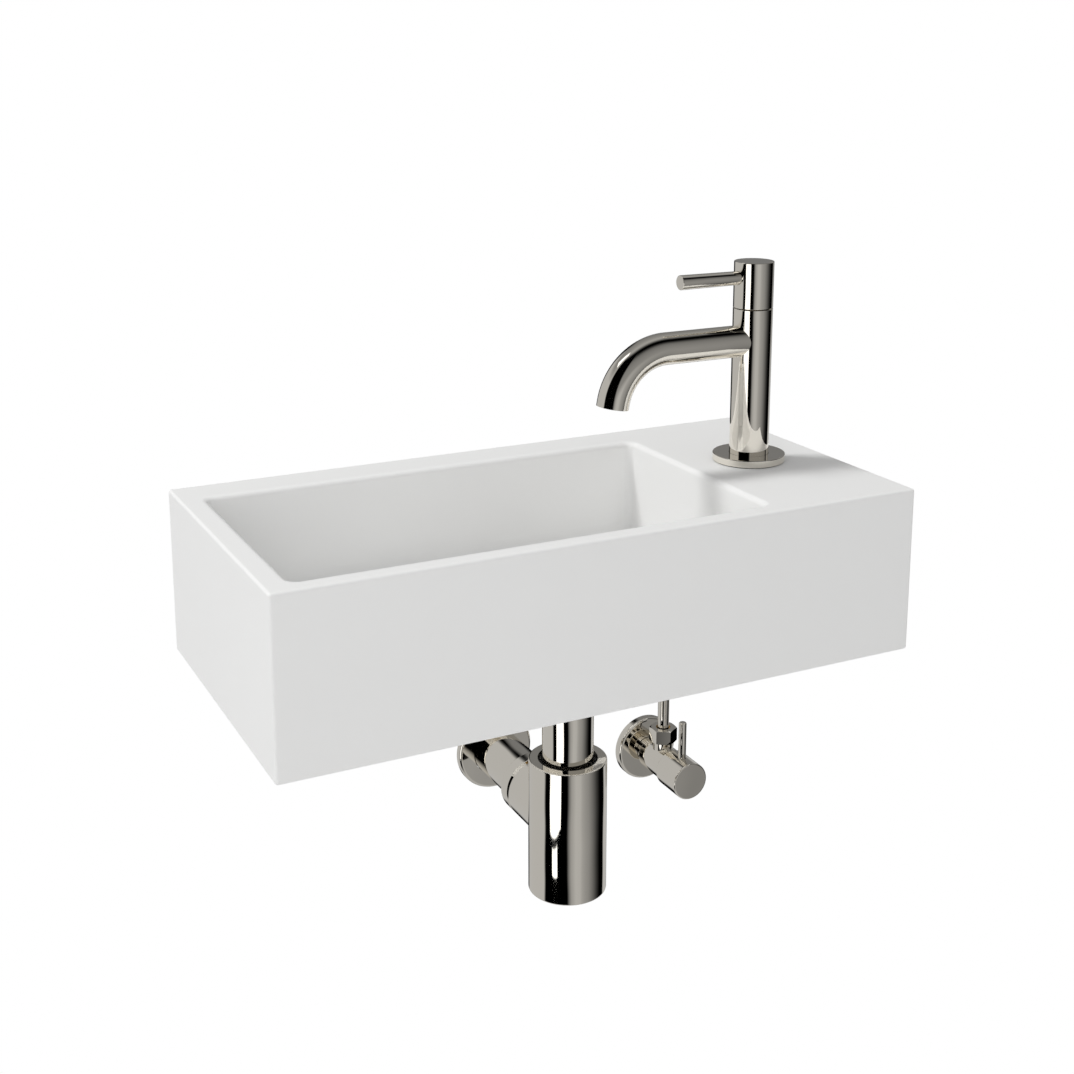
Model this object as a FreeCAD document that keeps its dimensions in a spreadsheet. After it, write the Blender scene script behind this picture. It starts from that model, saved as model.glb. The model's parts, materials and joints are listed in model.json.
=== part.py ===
"""Wall-hung hand basin with its pillar tap, waste, bottle trap, supply tube and angle stop valve.

Millimetres, +Z up, +X to the right along the wall. The wall is the plane Y = 0 and the basin stands out
towards -Y. The origin lies on the wall, midway between the two fixing holes of the basin.
"""
import FreeCAD
import Part
import math
import os
import types

import Sketcher

# Driving dimensions, in millimetres and degrees
SIZES = (
    # Basin
    ("basin_width", 400, "along the wall"),
    ("basin_depth", 200, "out from the wall"),
    ("basin_height", 102, "rim to lower edge"),
    ("left_rim", 15, "top of the left wall"),
    ("front_rim", 13, "top of the front wall"),
    ("back_rim", 28, "shelf between bowl and wall"),
    ("deck_width", 97, "tap deck at the right"),
    ("deck_thickness", 14, "tap deck"),
    ("skirt_wall", 13, "skirt round the hollow underside"),
    ("bowl_side_wall", 12, "wall between bowl and the hollow under the deck"),
    ("bowl_depth", 62, "rim to the edge of the floor"),
    ("bowl_corner", 6, "upright corners of the bowl"),
    ("bowl_draft", 1.5, "lean of the bowl walls in degrees"),
    ("bowl_rim_round", 3.5, "inner edge of the rim"),
    ("bowl_floor_round", 8, "hollow round between wall and floor"),
    ("floor_fall", 4, "edge of the floor down to the drain"),
    ("floor_thickness", 13, "below the drain's level"),
    ("outer_round", 1.8, "outer edges"),
    ("hollow_corner", 6, "corners of the hollows in the underside"),
    ("fixing_spacing", 300, "between the two wall fixings"),
    ("fixing_hole", 10, "diameter for 8 mm hanger bolts"),
    ("fixing_below_rim", 90, "rim to the wall fixings"),
    ("tap_hole", 35, "diameter in the deck"),
    ("tap_from_side", 52, "tap axis from the right side"),
    ("tap_from_wall", 100, "tap axis from the wall"),
    ("drain_hole", 45, "diameter in the floor"),
    ("drain_from_side", 187, "drain axis from the right side"),
    ("drain_from_wall", 110, "drain axis from the wall"),
    # Waste
    ("waste_flange", 63, "diameter of the flange"),
    ("waste_flange_thickness", 3, "flange, level with the floor"),
    ("waste_mouth", 42, "diameter of the countersunk mouth"),
    ("waste_bore", 36, "diameter of the bore"),
    ("waste_tail", 41.9, "diameter over the thread"),
    ("waste_length", 62, "flange top to the end of the tail"),
    ("waste_seal", 2, "ring under the flange"),
    ("waste_lower_seal", 3, "ring under the floor"),
    ("waste_seal_cover", 6.5, "how far the lower ring reaches past the drain hole"),
    ("waste_nut_flats", 54, "across flats"),
    ("waste_nut_height", 8, "back nut"),
    ("spider_depth", 12, "flange top to the spider"),
    ("spider_height", 6, "spider that carries the cap"),
    ("spider_arm", 4, "width of an arm"),
    ("spider_hub", 12, "diameter of the hub"),
    ("cap_width", 52, "diameter of the raised cap"),
    ("cap_thickness", 3, "at its edge"),
    ("cap_crown", 1.2, "rise of the cap's middle"),
    ("cap_lift", 6, "gap between flange and cap"),
    ("cap_stem", 8, "diameter of the stem"),
    ("cap_thread", 5, "diameter of the stem's threaded end"),
    # Trap
    ("coupling_flats", 46, "across flats"),
    ("coupling_height", 24, "coupling nut"),
    ("coupling_lip", 3.5, "lip that holds the tube's collar"),
    ("coupling_washer_thickness", 2, "flat washer"),
    ("tube_collar", 2.5, "collar on the inlet tube"),
    ("drain_tube", 32, "outer diameter of the inlet tube and the wall pipe"),
    ("drain_tube_wall", 1.2, "wall of both"),
    ("tube_dip", 7, "end of the inlet tube above the base plug"),
    ("trap_width", 49, "diameter of the cup"),
    ("trap_wall", 2.5, "wall of the cup"),
    ("trap_below_rim", 172, "rim of the basin to the top of the trap"),
    ("trap_length", 87.5, "top to bottom"),
    ("trap_top", 10, "thickness of the top"),
    ("trap_mouth", 37.5, "diameter of the recess for the seal"),
    ("trap_mouth_depth", 8, "depth of that recess"),
    ("trap_seal_inset", 2, "top of the trap to the seal"),
    ("trap_round", 0.9, "outer edges of the trap"),
    ("plug_thickness", 7, "clean-out plug in the base"),
    ("plug_ring_section", 2, "ring round the plug"),
    ("plug_slot_length", 26, "slot for a coin"),
    ("plug_slot_width", 3, "slot for a coin"),
    ("outlet_below_rim", 213, "rim of the basin to the axis of the wall pipe"),
    ("socket_width", 40.5, "diameter of the side socket and its nut"),
    ("socket_reach", 43, "trap axis to the end of the socket"),
    ("socket_seam", 0.6, "dark seam between socket and nut"),
    ("socket_nose", 6, "threaded nose inside the nut"),
    ("socket_nose_width", 36.5, "diameter of the nose"),
    ("outlet_nut_length", 10.9, "nut on the socket"),
    ("outlet_lip", 3.5, "lip of the nut round the pipe"),
    ("pipe_entry", 28, "trap axis to the inner end of the wall pipe"),
    ("pipe_in_wall", 40, "wall pipe behind the wall's face"),
    ("pipe_spigot", 31.6, "diameter of that end, turned down to enter the drain"),
    ("drain_rosette_width", 54, "diameter"),
    ("drain_rosette_depth", 5, "out from the wall"),
    # Tap
    ("tap_base_seal_thickness", 0.6, "ring under the flange"),
    ("tap_base_seal_inset", 1, "ring set back from the flange's edge"),
    ("tap_flange_width", 46, "diameter of the foot"),
    ("tap_flange_top", 5, "deck to the top of the foot"),
    ("tap_flange_lip", 2, "lip under the column"),
    ("shank_width", 20.8, "diameter over the thread"),
    ("shank_length", 50, "deck to the end of the shank"),
    ("tap_inlet", 10, "diameter of the waterway up the tap"),
    ("column_width", 25, "diameter of column and head"),
    ("lever_height", 118, "deck to the lever's axis"),
    ("seam_below_lever", 19.5, "lever's axis down to the top of the column"),
    ("spout_below_lever", 40, "lever's axis down to the axis of the spout"),
    ("head_above_lever", 10, "lever's axis up to the top of the head"),
    ("column_chamber", 19.6, "diameter of the chamber for the headwork"),
    ("chamber_depth", 34.5, "top of the column down to the seat of the headwork"),
    ("spout_width", 20, "outer diameter"),
    ("spout_wall", 1.6, "wall of the spout"),
    ("spout_run", 63.7, "tap axis to the start of the bend"),
    ("spout_bend", 36.5, "radius of the bend"),
    ("spout_turn", 80, "degrees of the bend"),
    ("spout_end", 3, "straight end after the bend"),
    ("head_seam", 0.5, "gap between column and head"),
    ("head_cavity", 20, "diameter of the hollow over the headwork"),
    ("head_cavity_height", 7, "that hollow"),
    ("head_roof", 5.6, "solid top of the head"),
    ("lever_root", 8.6, "diameter at the head"),
    ("lever_tip", 9.2, "diameter at the free end"),
    ("lever_reach", 54, "tap axis to the free end"),
    ("lever_seat", 1.5, "how deep the lever sits in the head"),
    ("lever_thread", 5, "diameter of its threaded end"),
    # Headwork
    ("seat_seal_thickness", 2, "ring below the fixed disc"),
    ("disc_width", 11.4, "diameter of both ceramic discs"),
    ("disc_thickness", 3, "each disc"),
    ("disc_port", 4.6, "outer radius of a port, from its own tip"),
    ("disc_port_offset", 0.7, "disc axis to the tip of a port"),
    ("disc_port_angle", 80, "spread of a port in degrees"),
    ("cage_bore", 12, "inside diameter of the headwork's cage"),
    ("cage_wall", 1.5, "wall of the cage"),
    ("cage_height", 20, "seat to the thread"),
    ("cage_roof", 2, "thread's lower end to the roof of the cage"),
    ("cage_window_width", 7, "water window"),
    ("cage_window_height", 9, "water window"),
    ("headwork_hex", 17.6, "diameter of the top inside the head"),
    ("headwork_rise", 4.5, "top above the column"),
    ("spindle_width", 7, "diameter of the spindle"),
    ("spindle_collar", 11.2, "diameter of the thrust collar"),
    ("spindle_collar_height", 2.9, "thrust collar"),
    ("spindle_flat", 3.1, "axis to the flat that the lever bears on"),
    ("spindle_flat_reach", 5, "flat's lower end below the lever's axis"),
    ("tongue_width", 3.5, "drive tongue in the moving disc"),
    ("tongue_length", 10.4, "drive tongue"),
    ("tongue_depth", 1.4, "tongue's reach into the disc"),
    ("o_ring_section", 1.4, "ring round the spindle"),
    ("o_ring_height", 2.2, "ring round the spindle"),
    # Aerator
    ("aerator_inset", 0.4, "end of the spout to the aerator"),
    ("aerator_length", 4, "housing"),
    ("aerator_wall", 0.9, "housing"),
    ("aerator_lip", 0.8, "lip that carries the grid"),
    ("aerator_lip_height", 1, "lip that carries the grid"),
    ("grid_thickness", 2, "flow straightener"),
    ("grid_hole", 1.8, "diameter of its holes"),
    ("grid_inner_ring", 2.8, "radius of the inner ring of holes"),
    ("grid_outer_ring", 5.4, "radius of the outer ring of holes"),
    ("aerator_washer_thickness", 1.3, "washer above the housing"),
    ("aerator_washer_width", 2.4, "ring width of that washer"),
    # Below the deck
    ("deck_washer_width", 46, "diameter of both washers"),
    ("deck_rubber_thickness", 2.5, "rubber washer"),
    ("deck_steel_thickness", 2, "steel washer"),
    ("tap_nut_flats", 27, "across flats"),
    ("tap_nut_height", 8, "back nut"),
    ("tail_nut_flats", 24, "across flats"),
    ("tail_nut_height", 17, "nut that holds the supply tube"),
    ("tail_nut_lip", 3, "lip under the tube's collar"),
    ("tail_washer_thickness", 2, "flat washer"),
    ("supply_collar", 2, "collar on the supply tube"),
    ("supply_tube_width", 8, "outer diameter"),
    ("supply_tube_wall", 1, "wall"),
    ("supply_bend", 32, "radius of both bends"),
    ("supply_upper_bend", 22, "collar to the corner of the upper bend"),
    ("supply_lower_bend", 68, "lower end to the corner of the lower bend"),
    # Stop valve
    ("valve_from_side", 67, "valve axis from the right side of the basin"),
    ("valve_below_rim", 237, "rim of the basin to the valve axis"),
    ("valve_rosette_width", 46, "diameter"),
    ("valve_rosette_depth", 6, "out from the wall"),
    ("valve_inlet", 16.6, "diameter over the inlet thread"),
    ("valve_in_wall", 14, "inlet behind the wall's face"),
    ("valve_waterway", 10, "diameter of the inlet bore"),
    ("valve_neck", 17.2, "diameter of the neck between wall and body"),
    ("valve_neck_end", 13, "wall to the body"),
    ("valve_body_width", 23, "diameter"),
    ("valve_body_end", 39.2, "wall to the front of the body"),
    ("valve_chamber", 16.4, "diameter of the ball's chamber"),
    ("valve_chamber_floor", 17, "wall to the ball's chamber"),
    ("valve_outlet_out", 27, "wall to the outlet's axis and the ball's centre"),
    ("valve_boss_width", 14, "diameter of the outlet boss"),
    ("valve_boss_top", 15.5, "valve axis to the nut"),
    ("valve_nose_width", 13, "diameter of the threaded nose"),
    ("valve_nose", 5, "threaded nose inside the nut"),
    ("valve_port", 7, "diameter of the ball's port"),
    ("tube_socket", 7.5, "depth of the tube's seat in the nose"),
    ("outlet_nut_flats", 17, "across flats"),
    ("outlet_nut_height", 10, "compression nut"),
    ("outlet_nut_lip", 2, "lip above the olive"),
    ("ball_width", 15.8, "diameter"),
    ("ball_slot_depth", 3.4, "slot for the stem"),
    ("seat_length", 3.6, "ring behind the ball"),
    ("gland_length", 3.9, "holds the stem"),
    ("gland_ring_section", 1.5, "ring round the stem"),
    ("gland_ring_length", 1.9, "ring round the stem"),
    ("stem_width", 6, "diameter"),
    ("stem_flat", 2.6, "axis to the flat that the pin bears on"),
    ("stem_flat_reach", 3.8, "flat's inner end behind the pin's axis"),
    ("stem_tongue", 2.6, "thickness of the tongue in the ball"),
    ("stem_tongue_width", 5.2, "tongue in the ball, within the stem's round"),
    ("handle_seam", 0.5, "gap between body and handle"),
    ("handle_width", 26, "diameter"),
    ("handle_length", 24.3, "out from the seam"),
    ("handle_cavity", 18, "diameter of the hollow behind"),
    ("handle_cavity_depth", 4.3, "that hollow"),
    ("handle_front", 5.7, "solid front"),
    ("handle_round", 1, "front edge"),
    ("pin_out", 52.5, "wall to the pin's axis"),
    ("pin_width", 5.4, "diameter"),
    ("pin_reach", 39.5, "valve axis to the pin's tip"),
    ("pin_seat", 1.5, "how deep the pin sits in the handle"),
    ("pin_thread", 3.8, "diameter of its threaded end"),
    # Clearances and edges
    ("running_gap", 0.06, "a spindle in its bore"),
    ("thread_gap", 0.1, "between threads, which are left plain"),
    ("slip_gap", 0.15, "a piece that slides over another"),
    ("seal_gap", 0.05, "a ring in its groove"),
    ("clear_gap", 0.3, "round pieces that turn past each other"),
    ("edge_round", 0.5, "small turned edges"),
    ("rosette_round", 2, "front edges of the rosettes"),
    ("nut_chamfer", 1, "corners of the nuts"),
    ("overcut", 1, "how far a cut runs past the face it opens"),
)

doc = FreeCAD.newDocument("HandBasin")
sheet = doc.addObject("Spreadsheet::Sheet", "Sizes")
pieces = []

X_AXIS = FreeCAD.Vector(1, 0, 0)
Y_AXIS = FreeCAD.Vector(0, 1, 0)
Z_AXIS = FreeCAD.Vector(0, 0, 1)
FULL_TURN = 360
HALF_TURN = 180
QUARTER_TURN = 90
HEX_SIDES = 6
# Turns a piece's own upright axis to point out from the wall, or along the lever
OUT_FROM_WALL = FreeCAD.Rotation(X_AXIS, QUARTER_TURN)
ALONG_LEVER = FreeCAD.Rotation(Y_AXIS, -QUARTER_TURN)
# How near an edge lies to a level that it belongs to
LEVEL_MATCH = 1e-4


class Size:
    """A length: its value now, and the spreadsheet expression that drives it."""

    def __init__(self, value, text):
        self.value = value
        self.text = text

    def combine(self, sign, other, value):
        return Size(value, "(%s %s %s)" % (self.text, sign, other.text))

    def __add__(self, other):
        other = as_size(other)
        return self.combine("+", other, self.value + other.value)

    def __sub__(self, other):
        other = as_size(other)
        return self.combine("-", other, self.value - other.value)

    def __mul__(self, other):
        other = as_size(other)
        return self.combine("*", other, self.value * other.value)

    def __truediv__(self, other):
        other = as_size(other)
        return self.combine("/", other, self.value / other.value)

    def __neg__(self):
        return Size(-self.value, "(0 - %s)" % self.text)


def as_size(item):
    """A plain number as a fixed size."""
    if isinstance(item, Size):
        return item
    return Size(float(item), "(%.9g)" % item)


def angle_function(name, angle):
    """The sine, cosine or tangent of an angle in degrees."""
    value = getattr(math, name)(math.radians(angle.value))
    return Size(value, "%s(%s)" % (name, angle.text))


def fill_sheet():
    """Writes the driving dimensions into the spreadsheet and returns them by name."""
    named = types.SimpleNamespace()
    for row, (name, value, note) in enumerate(SIZES, start=1):
        sheet.set("A%d" % row, name)
        sheet.set("B%d" % row, "%g" % value)
        sheet.setAlias("B%d" % row, name)
        sheet.set("C%d" % row, note)
        setattr(named, name, Size(float(value), "Sizes." + name))
    doc.recompute()
    return named


size = fill_sheet()

# Places that several pieces share
rim = size.fixing_below_rim
tap_x = size.basin_width / 2 - size.tap_from_side
tap_y = -size.tap_from_wall
drain_x = size.basin_width / 2 - size.drain_from_side
drain_y = -size.drain_from_wall
valve_x = size.basin_width / 2 - size.valve_from_side
column_top = size.lever_height - size.seam_below_lever
chamber_floor = column_top - size.chamber_depth
spout_height = size.lever_height - size.spout_below_lever
head_low = column_top + size.head_seam
head_top = size.lever_height + size.head_above_lever
floor_low = size.bowl_depth + size.floor_fall
floor_under = floor_low + size.floor_thickness
tap_axis = (tap_x, tap_y, rim)
drain_axis = (drain_x, drain_y, rim)
outlet_axis = (drain_x, 0, rim - size.outlet_below_rim)
valve_axis = (valve_x, 0, rim - size.valve_below_rim)
valve_outlet_axis = (valve_x, -size.valve_outlet_out, rim - size.valve_below_rim)


def place(item, point, rotation=None):
    """Puts a piece at a point of the shared frame."""
    if rotation is not None:
        item.Placement = FreeCAD.Placement(FreeCAD.Vector(), rotation)
    for letter, coordinate in zip("xyz", point):
        item.setExpression("Placement.Base." + letter, as_size(coordinate).text)


def new_body(label):
    body = doc.addObject("PartDesign::Body", label)
    body.Label = label
    pieces.append(body)
    return body


def new_sketch(body, plane, offset=None):
    """A sketch on one of the body's own planes, or at an offset along that plane's normal."""
    sketch = body.newObject("Sketcher::SketchObject", body.Name + "_sketch")
    support = [item for item in body.Origin.OriginFeatures if item.Role == plane]
    sketch.AttachmentSupport = [(support[0], "")]
    sketch.MapMode = "FlatFace"
    if offset is not None:
        sketch.setExpression("AttachmentOffset.Base.z", as_size(offset).text)
    return sketch


def constrain(sketch, kind, *items):
    """Adds a constraint whose last item is the size that drives it."""
    *where, length = items
    length = as_size(length)
    index = sketch.addConstraint(Sketcher.Constraint(kind, *where, length.value))
    sketch.setExpression("Constraints[%d]" % index, length.text)


def fix_point(sketch, geometry, end, point):
    """Holds one point of a sketch at its distance from the sketch's origin."""
    constrain(sketch, "DistanceX", -1, 1, geometry, end, point[0])
    constrain(sketch, "DistanceY", -1, 1, geometry, end, point[1])


def draw_circle(sketch, point, radius):
    centre = FreeCAD.Vector(as_size(point[0]).value, as_size(point[1]).value, 0)
    circle = sketch.addGeometry(Part.Circle(centre, Z_AXIS, as_size(radius).value))
    fix_point(sketch, circle, 3, point)
    constrain(sketch, "Radius", circle, radius)


def draw_outline(sketch, corners, closed=True):
    """Straight sides through the corners. A corner with a third item is rounded to that radius."""
    corners = [tuple(as_size(item) for item in corner) for corner in corners]
    points = [FreeCAD.Vector(corner[0].value, corner[1].value, 0) for corner in corners]
    count = len(points)
    leave = list(points)
    arrive = list(points)
    middle = {}
    for index, corner in enumerate(corners):
        if len(corner) < 3:
            continue
        back = (points[index - 1] - points[index]).normalize()
        ahead = (points[(index + 1) % count] - points[index]).normalize()
        half_angle = back.getAngle(ahead) / 2
        run = corner[2].value / math.tan(half_angle)
        arrive[index] = points[index] + back * run
        leave[index] = points[index] + ahead * run
        to_centre = (back + ahead).normalize()
        centre_distance = corner[2].value / math.sin(half_angle)
        middle[index] = points[index] + to_centre * (centre_distance - corner[2].value)
    sides = []
    for index in range(count if closed else count - 1):
        line = Part.LineSegment(leave[index], arrive[(index + 1) % count])
        sides.append(sketch.addGeometry(line))
    for index, corner in enumerate(corners):
        if index in middle:
            arc = (arrive[index], middle[index], leave[index])
            round_corner(sketch, corner, sides[index - 1], sides[index], arc)
        elif closed or 0 < index < count - 1:
            sketch.addConstraint(Sketcher.Constraint("Coincident", sides[index - 1], 2, sides[index], 1))
            fix_point(sketch, sides[index], 1, corner)
        elif index == 0:
            fix_point(sketch, sides[0], 1, corner)
        else:
            fix_point(sketch, sides[-1], 2, corner)


def round_corner(sketch, corner, side_in, side_out, points):
    """Joins two sides by a tangent arc. The sharp corner stays as a construction point."""
    start, middle, end = points
    left_turn = (middle - start).cross(end - middle).z > 0
    arc = sketch.addGeometry(Part.Arc(start, middle, end))
    first, last = (1, 2) if left_turn else (2, 1)
    sketch.addConstraint(Sketcher.Constraint("Tangent", side_in, 2, arc, first))
    sketch.addConstraint(Sketcher.Constraint("Tangent", arc, last, side_out, 1))
    constrain(sketch, "Radius", arc, corner[2])
    sharp = sketch.addGeometry(Part.Point(FreeCAD.Vector(corner[0].value, corner[1].value, 0)), True)
    fix_point(sketch, sharp, 1, corner)
    sketch.addConstraint(Sketcher.Constraint("PointOnObject", sharp, 1, side_in))
    sketch.addConstraint(Sketcher.Constraint("PointOnObject", sharp, 1, side_out))


def rectangle(left, right, low, high, radius=None):
    """Corners of an upright rectangle, rounded where a radius is given."""
    extra = () if radius is None else (radius,)
    places = ((left, low), (right, low), (right, high), (left, high))
    return [place_at + extra for place_at in places]


def hexagon(flats):
    """Corners of a hexagon with the given width across flats."""
    reach = flats / math.sqrt(3)
    turns = [math.radians(FULL_TURN * side / HEX_SIDES) for side in range(HEX_SIDES)]
    return [(reach * math.cos(turn), reach * math.sin(turn)) for turn in turns]


def add(body, kind, sketch, **settings):
    """A solid feature from a sketch. Sizes among the settings are bound to the spreadsheet."""
    feature = body.newObject("PartDesign::" + kind, body.Name + "_" + kind.lower())
    feature.Profile = sketch
    if kind in ("Revolution", "Groove"):
        feature.ReferenceAxis = (sketch, ["V_Axis"])
    for name, value in settings.items():
        if isinstance(value, Size):
            feature.setExpression(name, value.text)
        else:
            setattr(feature, name, value)
    return feature


def cut(body, kind, sketch, **settings):
    """A cut, tested to take something away."""
    doc.recompute()
    before = body.Shape.Volume
    feature = add(body, kind, sketch, **settings)
    doc.recompute()
    if body.Shape.Volume >= before:
        raise ValueError("%s takes nothing away" % feature.Name)
    return feature


def round_edges(body, chosen, radius):
    """Rounds the edges of the body for which the given test holds."""
    doc.recompute()
    base = body.Tip
    names = ["Edge%d" % number for number, edge in enumerate(base.Shape.Edges, start=1) if chosen(edge)]
    fillet = body.newObject("PartDesign::Fillet", body.Name + "_fillet")
    fillet.Base = (base, names)
    fillet.setExpression("Radius", radius.text)


def turned(label, outline, point, rotation=None):
    """A piece turned from (radius, height) corners about its own axis."""
    body = new_body(label)
    sketch = new_sketch(body, "XZ_Plane")
    draw_outline(sketch, outline)
    add(body, "Revolution", sketch, Angle=FULL_TURN)
    place(body, point, rotation)
    return body


def turn_out(body, outline):
    """Cuts a turned hollow out of a body."""
    sketch = new_sketch(body, "XZ_Plane")
    draw_outline(sketch, outline)
    cut(body, "Groove", sketch, Angle=FULL_TURN)


def ring(label, inner, outer, low, high, point, rotation=None):
    """A plain ring between two radii and two heights."""
    outline = ((inner, low), (outer, low), (outer, high), (inner, high))
    return turned(label, outline, point, rotation)


def nut(label, flats, low, high, hollow, point):
    """A hexagonal nut with cut-back corners. The hollow is a turned outline."""
    body = new_body(label)
    sketch = new_sketch(body, "XY_Plane", low)
    draw_outline(sketch, hexagon(flats))
    add(body, "Pad", sketch, Length=high - low)
    corner = flats / math.sqrt(3) + size.overcut
    for end, inward in ((high, -size.nut_chamfer), (low, size.nut_chamfer)):
        turn_out(body, ((flats / 2, end), (corner, end), (corner, end + inward)))
    turn_out(body, hollow)
    place(body, point)
    return body


def bore(radius, low, high):
    """Outline of a plain bore that opens both ends."""
    return (
        (0, low - size.overcut),
        (radius, low - size.overcut),
        (radius, high + size.overcut),
        (0, high + size.overcut),
    )


def stepped_bore(wide, narrow, low, step, high):
    """Outline of a bore that changes radius at the step: wide below it when it is listed first."""
    return (
        (0, low - size.overcut),
        (wide, low - size.overcut),
        (wide, step),
        (narrow, step),
        (narrow, high + size.overcut),
        (0, high + size.overcut),
    )


def flat_on(body, distance, low, high, depth, plane):
    """A flat across a round rod, at a distance from its axis and between two heights."""
    sketch = new_sketch(body, plane)
    outward = depth if distance.value > 0 else -depth
    draw_outline(sketch, rectangle(distance, distance + outward, low, high))
    cut(body, "Pocket", sketch, SideType="Symmetric", Length=(depth + size.overcut) * 2)


def make_basin():
    """The cast basin: bowl at the left, tap deck at the right, hollow underside."""
    body = new_body("basin")
    half = size.basin_width / 2
    base = rim - size.basin_height
    sketch = new_sketch(body, "XY_Plane", base)
    draw_outline(sketch, rectangle(-half, half, -size.basin_depth, 0))
    add(body, "Pad", sketch, Length=size.basin_height)
    round_edges(body, lambda edge: True, size.outer_round)

    # Bowl with leaning walls and a floor that falls to the drain
    left = size.left_rim - half
    right = half - size.deck_width
    front = size.front_rim - size.basin_depth
    back = -size.back_rim
    sketch = new_sketch(body, "XY_Plane", rim)
    draw_outline(sketch, rectangle(left, right, front, back, size.bowl_corner))
    cut(body, "Pocket", sketch, Length=size.bowl_depth, TaperAngle=-size.bowl_draft)
    rim_level = rim.value
    floor_level = (rim - size.bowl_depth).value
    round_edges(body, lambda edge: bowl_edge(edge, floor_level), size.bowl_floor_round)
    round_edges(body, lambda edge: bowl_edge(edge, rim_level), size.bowl_rim_round)
    lean = size.bowl_depth * angle_function("tan", size.bowl_draft)
    margin = size.bowl_floor_round + lean + size.overcut
    seat = size.waste_flange / 2 + size.clear_gap
    sketch = new_sketch(body, "XY_Plane", rim - size.bowl_depth)
    draw_outline(sketch, rectangle(left + margin, right - margin, front + margin, back - margin))
    low_sketch = new_sketch(body, "XY_Plane", rim - floor_low)
    low_square = seat + size.overcut
    draw_outline(
        low_sketch,
        rectangle(drain_x - low_square, drain_x + low_square, drain_y - low_square, drain_y + low_square),
    )
    cut(body, "SubtractiveLoft", sketch, Sections=[low_sketch], Ruled=True)

    # Seat and hole of the waste
    sketch = new_sketch(body, "XY_Plane", rim - floor_low)
    draw_circle(sketch, (drain_x, drain_y), seat)
    cut(body, "Pocket", sketch, Length=size.waste_flange_thickness + size.waste_seal)
    sketch = new_sketch(body, "XY_Plane", rim - floor_low)
    draw_circle(sketch, (drain_x, drain_y), size.drain_hole / 2)
    cut(body, "Pocket", sketch, Type="ThroughAll")

    # Hollow underside, shallow below the bowl and deep below the deck
    hollow_front = size.skirt_wall - size.basin_depth
    hollow_back = -size.skirt_wall
    hollow_right = half - size.skirt_wall
    deck_left = right + size.bowl_side_wall
    for hollow_left, top in ((size.skirt_wall - half, floor_under), (deck_left, size.deck_thickness)):
        sketch = new_sketch(body, "XY_Plane", base)
        outline = rectangle(hollow_left, hollow_right, hollow_front, hollow_back, size.hollow_corner)
        draw_outline(sketch, outline)
        cut(body, "Pocket", sketch, Length=size.basin_height - top, Reversed=True)

    # Holes for the tap and for the wall fixings
    sketch = new_sketch(body, "XY_Plane", rim)
    draw_circle(sketch, (tap_x, tap_y), size.tap_hole / 2)
    cut(body, "Pocket", sketch, Type="ThroughAll")
    sketch = new_sketch(body, "XZ_Plane")
    for side in (-1, 1):
        draw_circle(sketch, (size.fixing_spacing / 2 * side, 0), size.fixing_hole / 2)
    cut(body, "Pocket", sketch, Length=size.skirt_wall + size.overcut, Reversed=True)


def bowl_edge(edge, level):
    """Tells whether an edge of the basin bounds the bowl at the given level."""
    box = edge.BoundBox
    limit = (size.basin_width / 2 - size.left_rim / 2).value
    inside = box.XMin > -limit and box.XMax < limit
    return inside and abs(box.ZMin - level) < LEVEL_MATCH and abs(box.ZMax - level) < LEVEL_MATCH


def make_waste():
    """Fixed waste in the bowl's floor, with a raised cap on a spider."""
    top = -floor_low
    flange = size.waste_flange / 2
    mouth = size.waste_mouth / 2
    inner = size.waste_bore / 2
    tail = size.waste_tail / 2
    under_flange = top - size.waste_flange_thickness
    end = top - size.waste_length
    body = turned(
        "waste_body",
        (
            (mouth, top),
            (flange, top, size.edge_round),
            (flange, under_flange),
            (tail, under_flange),
            (tail, end),
            (inner, end),
            (inner, top - (mouth - inner)),
        ),
        drain_axis,
    )
    hub_top = top - size.spider_depth
    hub_low = hub_top - size.spider_height
    arm_reach = (inner + tail) / 2
    arm_half = size.spider_arm / 2
    for half_x, half_y in ((arm_reach, arm_half), (arm_half, arm_reach)):
        sketch = new_sketch(body, "XY_Plane", hub_low)
        draw_outline(sketch, rectangle(-half_x, half_x, -half_y, half_y))
        add(body, "Pad", sketch, Length=size.spider_height)
    sketch = new_sketch(body, "XY_Plane", hub_low)
    draw_circle(sketch, (0, 0), size.spider_hub / 2)
    add(body, "Pad", sketch, Length=size.spider_height)
    turn_out(body, bore(size.cap_thread / 2 + size.thread_gap, hub_low, hub_top))

    cap_under = top + size.cap_lift
    cap_top = cap_under + size.cap_thickness
    turned(
        "waste_cap",
        (
            (0, cap_top + size.cap_crown),
            (size.cap_width / 2, cap_top, size.edge_round),
            (size.cap_width / 2, cap_under),
            (size.cap_stem / 2, cap_under),
            (size.cap_stem / 2, hub_top),
            (size.cap_thread / 2, hub_top),
            (size.cap_thread / 2, hub_low),
            (0, hub_low),
        ),
        drain_axis,
    )

    hole = size.drain_hole / 2
    seal_top = under_flange
    ring("waste_upper_seal", hole, flange, seal_top - size.waste_seal, seal_top, drain_axis)
    lower_seal_end = -floor_under - size.waste_lower_seal
    lower_seal = hole + size.waste_seal_cover
    ring("waste_lower_seal", tail + size.seal_gap, lower_seal, lower_seal_end, -floor_under, drain_axis)
    nut_end = lower_seal_end - size.waste_nut_height
    hollow = bore(tail + size.thread_gap, nut_end, lower_seal_end)
    nut("waste_back_nut", size.waste_nut_flats, nut_end, lower_seal_end, hollow, drain_axis)


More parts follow.
